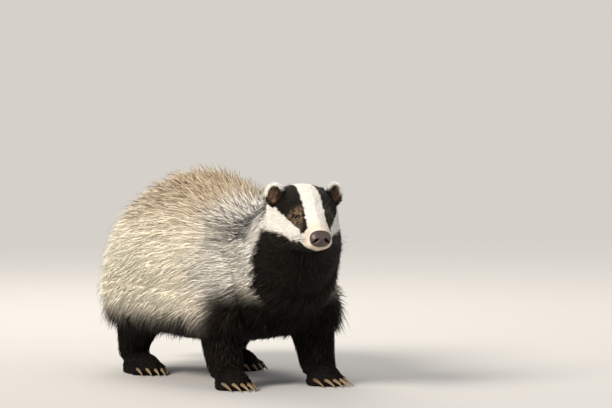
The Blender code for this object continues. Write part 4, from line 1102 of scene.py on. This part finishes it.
def grow(name, chosen, shares, profile, seed, strands):
    """Grows the coat where chosen says, in pieces of at most so many tufts from front to back. Returns them."""
    settings = bpy.context.scene.badger_coat
    surface = skin_surface()
    rng = np.random.default_rng(seed)
    weights = surface.areas * 10000 * np.einsum("z,zn->n", TUFT_DENSITIES, zones(surface.middles))
    roots, normals, unwrapped = surface.scattered(weights * chosen(surface.middles) * settings.density, rng)
    order = np.argsort(roots[:, 1], kind="stable")
    roots, normals, unwrapped = roots[order], normals[order], unwrapped[order]
    mix = zones(roots)
    count = len(roots)
    per_tuft = 6 * (len(shares) - 2) + 4
    vary = rng.uniform(0.78, 1.18, count)
    lengths = np.einsum("z,zn->n", zone_lengths(settings), mix) * vary
    lifts = np.einsum("z,zn->n", zone_lifts(settings), mix) * rng.uniform(0.55, 1.08, count)
    # Some hairs are stouter and stand over the rest
    stray = rng.random(count) < 0.14
    lifts *= np.where(stray, 1.42, 1.0)
    widths = np.einsum("z,zn->n", TUFT_WIDTHS, mix) * rng.uniform(0.65, 1.3, count) * np.where(stray, 1.35, 1.0)
    # Longer hair stands up before each ear and over its root, so that the cup grows out of the fur
    spots, from_ear = in_ears(roots)
    at_ear = np.exp(-((from_ear - 1.05) / 0.30) ** 2) * (mix[0] + mix[1] + mix[2])
    lengths *= 1 + 0.25 * at_ear
    lifts *= 1 + 3.0 * at_ear
    # Hair stands up in the hollow of the ear and half fills it, and is short on its edge
    lengths *= 1 - 0.55 * mix[9] * smoothstep(0.66, 0.84, np.linalg.norm(spots[:, (0, 2)], axis=1))
    cupped = mix[9] * in_cup(spots)
    lengths *= 1 + 0.5 * cupped
    lifts += 0.0020 * cupped
    # Long hair from the back of the head covers the hollow of the nape, and the lips have the shortest hair
    head = in_head(roots)
    nape = smoothstep(0.125, 0.165, head[:, 1]) * (1 - smoothstep(0.165, 0.215, head[:, 1])) * (head[:, 2] > -0.01)
    lengths *= 1 + 0.9 * nape
    lifts *= 1 + 0.9 * nape
    lengths *= 0.35 + 0.65 * smoothstep(0.0010, 0.0070, distance_to_line(roots, FOUND["mouth"]))
    swirl = 0.13 * patches(roots, 0.022, seed + 1)
    turns = np.radians(np.einsum("z,zn->n", TUFT_TURNS, mix)) * rng.normal(0, 1, count) + swirl * (lengths / 0.058)
    centres, up = tuft_paths(surface, roots, normals, lengths, lifts, turns, shares, mix[9] > 0.5)
    keep = well_laid(centres, lengths, roots)
    keep &= distance_to_line(centres[:, 1], FOUND["mouth"]) > 0.0008
    centres, up, roots, mix = centres[keep], up[keep], roots[keep], mix[:, keep]
    unwrapped, widths, count = unwrapped[keep], widths[keep], int(keep.sum())
    out = np.abs(centres[:, :, 0])
    centres[:, :, 0] *= np.where(out > STAND_PROUD, STAND_PROUD + 0.35 * (out - STAND_PROUD), out) / np.maximum(out, 1e-9)
    centres[:, :, 2] = np.maximum(centres[:, :, 2], 0.0007)
    # The markings are read where most of a tuft shows, and not at its root, which lies under other hair
    seen = 0.25 * centres[:, -2] + 0.75 * (0.4 * centres[:, -2] + 0.6 * centres[:, -1])
    seen = np.where(mix[9][:, None] > 0.5, roots + 0.45 * (seen - roots), seen)
    colours, strength, place = tuft_colours(seen, settings, rng, shares)
    material = fur_material(name.replace("_", " ") + " hair", strands, tuple(settings.grizzle))
    made = []
    for k in range(math.ceil(count * per_tuft / MOST_TRIANGLES)):
        pieces = math.ceil(count * per_tuft / MOST_TRIANGLES)
        part = slice(k * count // pieces, (k + 1) * count // pieces)
        vertices, triangles, per = tuft_solids(centres[part], up[part], widths[part], widths[part] * 0.32, profile)
        piece_name = name if pieces == 1 else f"{name}_{k + 1}"
        mesh = mesh_of(piece_name, vertices, triangles)
        number = len(vertices) // per
        sections = len(shares) - 1
        across = np.tile(np.append(np.tile((1.0, 0.5, 0.0), sections), 0.5), number)
        along = np.tile(np.append(np.repeat(np.array(shares[:-1]), 3), 1.0), number)
        at_root = np.repeat(unwrapped[part], per, axis=0)
        patch = at_root + 0.003 * np.stack([across - 0.5, along - 0.5], axis=1)
        write_unwrap(mesh, "OFBake", patch, triangles)
        own = np.repeat(rng.uniform(0, 400, number), per)
        write_unwrap(mesh, "Strands", np.stack([across + own, along], axis=1), triangles)
        per_ring = np.repeat(colours[part][:, :-1], 3, axis=1)
        write_colours(mesh, np.concatenate([per_ring, colours[part][:, -1:]], axis=1).reshape(-1, 3))
        write_values(mesh, "band_strength", np.repeat(strength[part], per))
        write_values(mesh, "band_place", np.repeat(place[part], per))
        obj = bpy.data.objects.new(piece_name, mesh)
        bpy.context.scene.collection.objects.link(obj)
        made.append(dressed(obj, material))
    return made


class BADGER_OT_skin(bpy.types.Operator):
    """Makes the skin: body, head, legs and tail as one surface under the coat, with ear cups and lids."""

    bl_idname = "badger.skin"
    bl_label = "Skin"

    def execute(self, context):
        coat, face = context.scene.badger_coat, context.scene.badger_face
        whole = joined(body_forms(coat))
        bmesh.ops.translate(whole, verts=whole.verts[:], vec=BODY_SHIFT)
        skin = new_mesh_object("skin", whole)
        remesh = skin.modifiers.new("Skin", "REMESH")
        remesh.mode = "VOXEL"
        remesh.voxel_size = SKIN_VOXEL
        smooth = skin.modifiers.new("Smooth", "SMOOTH")
        smooth.factor = 0.5
        smooth.iterations = 5
        apply_modifiers(skin)
        filled_hollows(skin)
        finer_face(skin)
        modelled_face(skin)
        bm = bmesh.new()
        bm.from_mesh(skin.data)
        cut = bmesh.ops.bisect_plane(bm, geom=bm.verts[:] + bm.edges[:] + bm.faces[:], dist=0.00001,
                                     plane_co=(0, 0, 0.0001), plane_no=(0, 0, -1), clear_outer=True)
        bmesh.ops.holes_fill(bm, edges=[e for e in cut["geom_cut"] if isinstance(e, bmesh.types.BMEdge)], sides=0)
        forms = [ear_cup(side, face.ear_wall) for side in (-1, 1)]
        forms += [lid_rims(middle, gaze, face.eye_radius, face.lid_radius) for middle, gaze in eye_places().values()]
        extra = joined(forms)
        mesh = bpy.data.meshes.new("extra")
        extra.to_mesh(mesh)
        extra.free()
        bm.from_mesh(mesh)
        bmesh.ops.triangulate(bm, faces=bm.faces[:])
        bm.to_mesh(skin.data)
        bm.free()
        bpy.context.view_layer.objects.active = skin
        skin.data.uv_layers.new(name="OFBake")
        bpy.ops.object.mode_set(mode="EDIT")
        bpy.ops.mesh.select_all(action="SELECT")
        bpy.ops.uv.smart_project(angle_limit=math.radians(66), island_margin=0.002)
        bpy.ops.object.mode_set(mode="OBJECT")
        places = coordinates(skin.data)
        colour, _ = marks(places, coat)
        # Painted shade: the skin is a tenth darker than the coat's markings, as the shade under the tufts
        colour *= 0.9
        for middle, gaze in eye_places().values():
            close = np.linalg.norm(places - np.array(middle), axis=1) < face.eye_radius + face.lid_radius
            colour[close] = np.array(face.lid)
        colour[distance_to_line(places, FOUND["mouth"]) < 0.0016] = np.array(face.lid)
        write_colours(skin.data, colour)
        flesh = [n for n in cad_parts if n.split("_")[0] not in ("eye", "nose", "claw")]
        dressed(skin, skin_material(), flesh)
        return {"FINISHED"}


class BADGER_OT_body_coat(bpy.types.Operator):
    """Grows the long guard hair of neck, back, flanks, rump and belly."""

    bl_idname = "badger.body_coat"
    bl_label = "Body coat"

    def execute(self, context):
        grow("coat", lambda places: zones(places)[3:6].sum(axis=0), LONG_SHARES, LONG_PROFILE, 21, 7.0)
        return {"FINISHED"}


class BADGER_OT_head_coat(bpy.types.Operator):
    """Grows the short fur of face, crown and cheeks, and of the ears."""

    bl_idname = "badger.head_coat"
    bl_label = "Head coat"

    def execute(self, context):
        grow("head_coat", lambda places: zones(places)[[0, 1, 2, 9]].sum(axis=0), SHORT_SHARES, SHORT_PROFILE, 22, 4.0)
        return {"FINISHED"}


class BADGER_OT_leg_coat(bpy.types.Operator):
    """Grows the black fur of legs and feet."""

    bl_idname = "badger.leg_coat"
    bl_label = "Leg coat"

    def execute(self, context):
        grow("leg_coat", lambda places: zones(places)[6:8].sum(axis=0), SHORT_SHARES, SHORT_PROFILE, 23, 4.0)
        return {"FINISHED"}


class BADGER_OT_tail_coat(bpy.types.Operator):
    """Grows the pale brush of the tail."""

    bl_idname = "badger.tail_coat"
    bl_label = "Tail coat"

    def execute(self, context):
        grow("tail_coat", lambda places: zones(places)[8], LONG_SHARES, LONG_PROFILE, 24, 7.0)
        return {"FINISHED"}


def piece_from(name, bm):
    """A finished mesh piece from a bmesh, with its normals outwards."""
    bmesh.ops.recalc_face_normals(bm, faces=bm.faces[:])
    return new_mesh_object(name, bm)


def eye_material(iris):
    """A wet eye: a clear curved coat over a black pupil and a dark brown iris."""
    material, tree, shader = new_material("wet cornea over brown iris", Roughness=0.25, Specular_IOR_Level=0.0,
                                          Coat_Weight=1.0, Coat_Roughness=0.02, Coat_IOR=1.38)
    across = add_node(tree, "ShaderNodeAttribute", attribute_name="from_gaze")
    pupil, edge = linear("#070707"), linear("#0D0A07")
    stops = ((0.0, pupil), (0.25, tuple(iris)), (0.22, pupil), (0.40, tuple(np.array(iris) * 0.7)), (0.47, edge))
    colours = add_node(tree, "ShaderNodeValToRGB", {"Fac": across.outputs["Fac"]}, stops)
    tree.links.new(colours.outputs["Color"], shader.inputs["Base Color"])
    return material


class BADGER_OT_eyes(bpy.types.Operator):
    """Makes both eyes, each a ball with a raised cornea."""

    bl_idname = "badger.eyes"
    bl_label = "Eyes"

    def execute(self, context):
        face = context.scene.badger_face
        material = eye_material(face.iris)
        for hand, (middle, gaze) in eye_places().items():
            bm = bmesh.new()
            bmesh.ops.create_uvsphere(bm, u_segments=48, v_segments=32, radius=1.0)
            eye = new_mesh_object(f"eyeball_{hand}", bm)
            ball = coordinates(eye.data)
            away = np.arccos(np.clip(ball[:, 2], -1, 1)) / (math.pi / 2)
            ball *= face.eye_radius * (1 + 0.07 * (1 - smoothstep(0.25, 0.50, away)))[:, None]
            turn = np.array(gaze.to_track_quat("Z", "Y").to_matrix())
            eye.data.vertices.foreach_set("co", (ball @ turn.T + np.array(middle)).ravel())
            write_values(eye.data, "from_gaze", away)
            dressed(eye, material, [f"eye_{hand}"])
        return {"FINISHED"}


def leather_material(leather):
    """Bare nose leather: a moist skin in pebbles of 0.5 mm, with painted shade, nearly black, inside the nostrils and
    in the groove.
    """
    material, tree, shader = new_material("moist nose leather", Roughness=0.36, Specular_IOR_Level=0.55,
                                          Subsurface_Weight=0.08, Subsurface_Scale=0.001)
    deep = add_node(tree, "ShaderNodeAttribute", attribute_name="deep")
    place = add_node(tree, "ShaderNodeTexCoord")
    pebbles = add_node(tree, "ShaderNodeTexVoronoi", {"Vector": place.outputs["Object"], "Scale": 1700.0},
                       feature="DISTANCE_TO_EDGE")
    # Painted shade: the deeper a spot lies in a nostril or the groove, the darker the leather
    stops = ((0.0, tuple(leather)), (0.8, linear("#0D0A0A")), (0.35, tuple(np.array(leather) * 0.45)))
    colours = add_node(tree, "ShaderNodeValToRGB", {"Fac": deep.outputs["Fac"]}, stops)
    blotches = add_node(tree, "ShaderNodeTexNoise", {"Vector": place.outputs["Object"], "Scale": 420.0, "Detail": 3.0})
    tone = add_node(tree, "ShaderNodeMapRange", {"Value": blotches.outputs["Fac"], "From Min": 0.3, "From Max": 0.7,
                                                 "To Min": 0.75, "To Max": 1.25})
    shade = add_node(tree, "ShaderNodeVectorMath", {0: colours.outputs["Color"], 1: tone.outputs["Result"]},
                     operation="MULTIPLY")
    tree.links.new(shade.outputs["Vector"], shader.inputs["Base Color"])
    bump = add_node(tree, "ShaderNodeBump", {"Height": pebbles.outputs["Distance"], "Strength": 0.5,
                                             "Distance": 0.0003})
    tree.links.new(bump.outputs["Normal"], shader.inputs["Normal"])
    return material


class BADGER_OT_nose(bpy.types.Operator):
    """Makes the nose pad, with comma-shaped nostrils and the groove down its middle."""

    bl_idname = "badger.nose"
    bl_label = "Nose"

    def execute(self, context):
        face = context.scene.badger_face
        bm = bmesh.new()
        bmesh.ops.create_uvsphere(bm, u_segments=128, v_segments=96, radius=1.0)
        nose = new_mesh_object("nose_pad", bm)
        ball = coordinates(nose.data)
        # Fuller than a ball, with a flat front whose top leans back along the line of the muzzle
        fuller = ball / (np.abs(ball) ** NOSE_FULLNESS).sum(axis=1, keepdims=True) ** (1 / NOSE_FULLNESS)
        pad = fuller * np.array(NOSE_RADII) * (1.0, 0.86, 0.97) + np.array(NOSE_CENTRE)
        pad[:, 1] += NOSE_LEAN * np.maximum(pad[:, 2], 0) ** 2 * smoothstep(0.3, -0.5, ball[:, 1])
        front = smoothstep(0.25, 0.60, -ball[:, 1])
        x, z = pad[:, 0], pad[:, 2]
        deep = np.zeros(len(pad))
        for side in (-1, 1):
            comma = [(side * NOSTRIL_APART * 0.80, 0.0018), (side * NOSTRIL_APART, 0.0006),
                     (side * NOSTRIL_APART * 1.28, -0.0012), (side * NOSTRIL_APART * 1.62, -0.0038)]
            away = distance_to_line(np.stack([x, z], axis=1), comma)
            taper = np.interp(np.abs(x), (NOSTRIL_APART, NOSTRIL_APART * 1.6), (0.0030, 0.0013))
            deep = np.maximum(deep, 1 - smoothstep(0.25, 1.0, away / taper))
        deep *= smoothstep(0.10, 0.45, -ball[:, 1])
        pad[:, 1] += face.nostril_depth * deep
        groove = np.exp(-(x / 0.0007) ** 2) * smoothstep(0.0010, -0.0030, z) * front
        pad[:, 1] += 0.0012 * groove
        rolled = np.exp(-((np.hypot(np.abs(x) - NOSTRIL_APART, z) - 0.0042) / 0.0012) ** 2) * front
        pad[:, 1] -= 0.0006 * rolled
        placed = pad @ HEAD_TO_MODEL[:3, :3].T + HEAD_TO_MODEL[:3, 3]
        nose.data.vertices.foreach_set("co", placed.ravel())
        # The depth of nostrils and groove is also stored for the leather, which paints shade in these hollows
        write_values(nose.data, "deep", np.maximum(deep, 0.5 * groove))
        dressed(nose, leather_material(face.leather), ["nose"])
        return {"FINISHED"}


def horn_material(root, tip):
    """Claw horn: layered keratin, dark at the root and paler at the tip."""
    material, tree, shader = new_material("layered claw horn", Roughness=0.38, IOR=1.54)
    along = add_node(tree, "ShaderNodeAttribute", attribute_name="along")
    place = add_node(tree, "ShaderNodeTexCoord")
    # Growth layers about 0.8 mm apart
    layers = add_node(tree, "ShaderNodeMapping", {"Vector": place.outputs["Object"], "Scale": (2200, 300, 1300)})
    noise = add_node(tree, "ShaderNodeTexNoise", {"Vector": layers.outputs["Vector"], "Scale": 1.0, "Detail": 3.0})
    stops = ((0.0, root), (1.0, tip), (0.45, tuple((np.array(root) + tip) / 2)))
    colours = add_node(tree, "ShaderNodeValToRGB", {"Fac": along.outputs["Fac"]}, stops)
    tone = add_node(tree, "ShaderNodeMapRange", {"Value": noise.outputs["Fac"], "From Min": 0.3, "From Max": 0.7,
                                                 "To Min": 0.78, "To Max": 1.15})
    shade = add_node(tree, "ShaderNodeVectorMath", {0: colours.outputs["Color"], 1: tone.outputs["Result"]},
                     operation="MULTIPLY")
    tree.links.new(shade.outputs["Vector"], shader.inputs["Base Color"])
    bump = add_node(tree, "ShaderNodeBump", {"Height": noise.outputs["Fac"], "Strength": 0.3, "Distance": 0.0002})
    tree.links.new(bump.outputs["Normal"], shader.inputs["Normal"])
    return material


def claw_line(toe, length, side):
    """The line of a claw from inside its toe to just over the floor, and its radius along it."""
    start = toe + Vector((0, -TOE_RADIUS * 0.6, TOE_RADIUS * 0.45)) + BODY_SHIFT
    reach = length + TOE_RADIUS * 1.3
    drop = start.z - CLAW_CLEARANCE - 0.0012
    points, radii = [], []
    for t in np.linspace(0, 1, 14):
        points.append(start + Vector((side * 0.001 * t, -reach * t, -drop * t**1.7)))
        radii.append(CLAW_RADIUS * (1 - 0.80 * t**1.6))
    return points, radii


class BADGER_OT_claws(bpy.types.Operator):
    """Makes the long digging claws of the front feet and the shorter hind ones, five on each foot."""

    bl_idname = "badger.claws"
    bl_label = "Claws"

    def execute(self, context):
        face = context.scene.badger_face
        material = horn_material(tuple(face.horn_root), tuple(face.horn))
        for side, hand in ((-1, "right"), (1, "left")):
            for name, toe_y, paw_x, length in (
                ("fore", FORE_TOE_Y, FORE_PAW_X, face.fore_claw),
                ("hind", HIND_TOE_Y, HIND_PAW_X, face.hind_claw),
            ):
                forms = []
                for toe in range(TOES):
                    points, radii = claw_line(toe_place(toe, toe_y, paw_x, side), length, side)
                    forms.append(tube(points, radii, Vector((0, 0, 1)), sides=14, flatness=0.86))
                claws = piece_from(f"claws_{name}_{hand}", joined(forms))
                front = coordinates(claws.data)[:, 1]
                write_values(claws.data, "along", np.clip((front.max() - front) / (front.max() - front.min()), 0, 1))
                dressed(claws, material, [f"claw_{name}_{hand}_{toe + 1}" for toe in range(TOES)])
        return {"FINISHED"}


def bristle_tree(material, sides):
    """Geometry Nodes that turn lines into tapered bristles: each line's own thickness is its radius."""
    tree = bpy.data.node_groups.new("Bristles", "GeometryNodeTree")
    tree.interface.new_socket("Geometry", in_out="INPUT", socket_type="NodeSocketGeometry")
    taper = tree.interface.new_socket("Taper", in_out="INPUT", socket_type="NodeSocketFloat")
    tree.interface.new_socket("Geometry", in_out="OUTPUT", socket_type="NodeSocketGeometry")
    inputs = add_node(tree, "NodeGroupInput")
    curve = add_node(tree, "GeometryNodeMeshToCurve", {"Mesh": inputs.outputs["Geometry"]})
    thickness = add_node(tree, "GeometryNodeInputNamedAttribute", {"Name": "thickness"}, data_type="FLOAT")
    power = add_node(tree, "ShaderNodeMath", {0: thickness.outputs["Attribute"], 1: inputs.outputs["Taper"]},
                     operation="MULTIPLY")
    sized = add_node(tree, "GeometryNodeSetCurveRadius", {"Curve": curve.outputs["Curve"],
                                                          "Radius": power.outputs["Value"]})
    profile = add_node(tree, "GeometryNodeCurvePrimitiveCircle", {"Resolution": sides, "Radius": 1.0})
    solid = add_node(tree, "GeometryNodeCurveToMesh", {"Curve": sized.outputs["Curve"],
                                                       "Profile Curve": profile.outputs["Curve"], "Fill Caps": True})
    if "Scale" in solid.inputs:
        radius = add_node(tree, "GeometryNodeInputRadius")
        tree.links.new(radius.outputs["Radius"], solid.inputs["Scale"])
    real = add_node(tree, "GeometryNodeRealizeInstances", {"Geometry": solid.outputs["Mesh"]})
    coated = add_node(tree, "GeometryNodeSetMaterial", {"Geometry": real.outputs["Geometry"], "Material": material})
    add_node(tree, "NodeGroupOutput", {"Geometry": coated.outputs["Geometry"]})
    return tree, taper.identifier


class BADGER_OT_whiskers(bpy.types.Operator):
    """Grows the whiskers of the muzzle and the bristles over the eyes."""

    bl_idname = "badger.whiskers"
    bl_label = "Whiskers"

    def execute(self, context):
        face = context.scene.badger_face
        surface = skin_surface()
        rng = np.random.default_rng(31)
        lines = []
        for side in (-1, 1):
            for row in range(3):
                for k in range(5):
                    d = 0.020 + 0.0052 * k + rng.uniform(-0.001, 0.001)
                    z = -0.0020 - 0.0036 * row + rng.uniform(-0.0006, 0.0006)
                    way = Vector((side * 1.0, 0.10 + 0.10 * k, -0.05 - 0.16 * row + rng.uniform(-0.1, 0.1)))
                    lines.append((Vector((0, d, z)), way, face.whisker_length * (0.5 + 0.11 * k) * rng.uniform(0.8, 1)))
            for k in range(3):
                way = Vector((side * (0.5 + 0.2 * k), 0.25 * k - 0.1, 1.0))
                lines.append((Vector((side * 0.010, 0.062 + 0.003 * k, 0.026)), way, 0.022 + 0.003 * k))
        points, edges, thickness = [], [], []
        face_frame = head_matrix()
        for start, way, length in lines:
            inside = face_frame @ start
            out = (face_frame.to_3x3() @ way).normalized()
            root, _, _, _ = surface.tree.ray_cast(inside, (face_frame.to_3x3() @ Vector((way.x, 0.0, max(way.z, 0)))).normalized())
            for k in range(9):
                t = k / 8
                if k:
                    edges.append((len(points) - 1, len(points)))
                points.append(root - out * 0.0008 + out * length * t + Vector((0, 0, -0.22 * length * t**2)))
                thickness.append(0.00019 * (1 - 0.8 * t))
        mesh = bpy.data.meshes.new("whisker lines")
        mesh.from_pydata(points, edges, [])
        write_values(mesh, "thickness", thickness)
        whiskers = bpy.data.objects.new("whiskers", mesh)
        context.scene.collection.objects.link(whiskers)
        material, _, _ = new_material("smooth whisker horn", Base_Color=(*linear("#2A2420"), 1.0), Roughness=0.35)
        tree, taper = bristle_tree(material, 6)
        modifier = whiskers.modifiers.new("Bristles", "NODES")
        modifier.node_group = tree
        modifier[taper] = 1.0
        apply_modifiers(whiskers)
        dressed(whiskers, material)
        return {"FINISHED"}


class BADGER_OT_stage(bpy.types.Operator):
    """Lays the floor, and sets the lights and the camera."""

    bl_idname = "badger.stage"
    bl_label = "Stage"

    def execute(self, context):
        stage = context.scene.badger_stage
        half = stage.floor_size / 2
        mesh = bpy.data.meshes.new("floor")
        mesh.from_pydata([(-half, -half, 0), (half, -half, 0), (half, half, 0), (-half, half, 0)], [], [(0, 1, 2, 3)])
        floor = bpy.data.objects.new("floor", mesh)
        context.scene.collection.objects.link(floor)
        material, tree, shader = new_material("matt painted floor", Roughness=0.9,
                                              Base_Color=(*stage.floor_colour, 1.0))
        mesh.materials.append(material)
        world = bpy.data.worlds.new("studio")
        context.scene.world = world
        world.use_nodes = True
        background = world.node_tree.nodes["Background"]
        background.inputs["Color"].default_value = (*linear("#EEEEEE"), 1.0)
        background.inputs["Strength"].default_value = 0.68
        azimuth, elevation = math.radians(-27), math.radians(3)
        back = Vector((math.sin(azimuth) * math.cos(elevation), -math.cos(azimuth) * math.cos(elevation),
                       math.sin(elevation)))
        right = Vector((0, 0, 1)).cross(back).normalized()
        up = back.cross(right)
        eyes = head_matrix() @ Vector((0, 0.064, 0.0215))
        target = eyes - right * (7 / 640) + up * (12 / 640)
        camera = bpy.data.objects.new("camera", bpy.data.cameras.new("camera"))
        context.scene.collection.objects.link(camera)
        camera.data.lens = 36 * stage.distance * 640 / 612
        camera.data.clip_end = 400
        camera.location = target + back * stage.distance
        camera.rotation_euler = back.to_track_quat("Z", "Y").to_euler()
        context.scene.camera = camera
        context.scene.view_settings.view_transform = "Standard"
        for name, kind, place, power, size, colour in (
            ("key", "SUN", target - right * 1.9 + back * 1.7 + Vector((0, 0, 1.5)), stage.key_strength, None, "#FFF6EA"),
            ("fill", "AREA", target + right * 2.2 + back * 1.6 + Vector((0, 0, 0.8)), stage.fill_power, 2.0, "#EAF0FA"),
            ("rim", "AREA", target - back * 2.0 - right * 0.6 + Vector((0, 0, 1.7)), stage.rim_power, 1.4, "#FFF6EA"),
        ):
            light = bpy.data.objects.new(name, bpy.data.lights.new(name, kind))
            context.scene.collection.objects.link(light)
            light.data.energy = power
            if kind == "SUN":
                light.data.angle = math.radians(22)
            else:
                light.data.size = size
            light.data.color = linear(colour)
            light.location = place
            light.rotation_euler = (place - Vector((0, 0, 0.18))).to_track_quat("Z", "Y").to_euler()
        return {"FINISHED"}


OPERATORS = (BADGER_OT_skin, BADGER_OT_eyes, BADGER_OT_nose, BADGER_OT_claws, BADGER_OT_body_coat,
             BADGER_OT_head_coat, BADGER_OT_leg_coat, BADGER_OT_tail_coat, BADGER_OT_whiskers, BADGER_OT_stage)


class BADGER_PT_panel(bpy.types.Panel):
    """Lists the badger's pieces and their settings."""

    bl_label = "Badger"
    bl_idname = "BADGER_PT_panel"
    bl_space_type = "VIEW_3D"
    bl_region_type = "UI"
    bl_category = "Badger"

    def draw(self, context):
        for kind in OPERATORS:
            self.layout.operator(kind.bl_idname)
        for group in (context.scene.badger_coat, context.scene.badger_face, context.scene.badger_stage):
            for name in group.__annotations__:
                self.layout.prop(group, name)


CLASSES = (CoatSettings, FaceSettings, StageSettings, *OPERATORS, BADGER_PT_panel)


def register():
    for kind in CLASSES:
        bpy.utils.register_class(kind)
    bpy.types.Scene.badger_coat = PointerProperty(type=CoatSettings)
    bpy.types.Scene.badger_face = PointerProperty(type=FaceSettings)
    bpy.types.Scene.badger_stage = PointerProperty(type=StageSettings)


def unregister():
    del bpy.types.Scene.badger_stage
    del bpy.types.Scene.badger_face
    del bpy.types.Scene.badger_coat
    for kind in reversed(CLASSES):
        bpy.utils.unregister_class(kind)


def main():
    register()
    for kind in OPERATORS:
        group, name = kind.bl_idname.split(".")
        getattr(getattr(bpy.ops, group), name)()


if __name__ == "__main__":
    main()
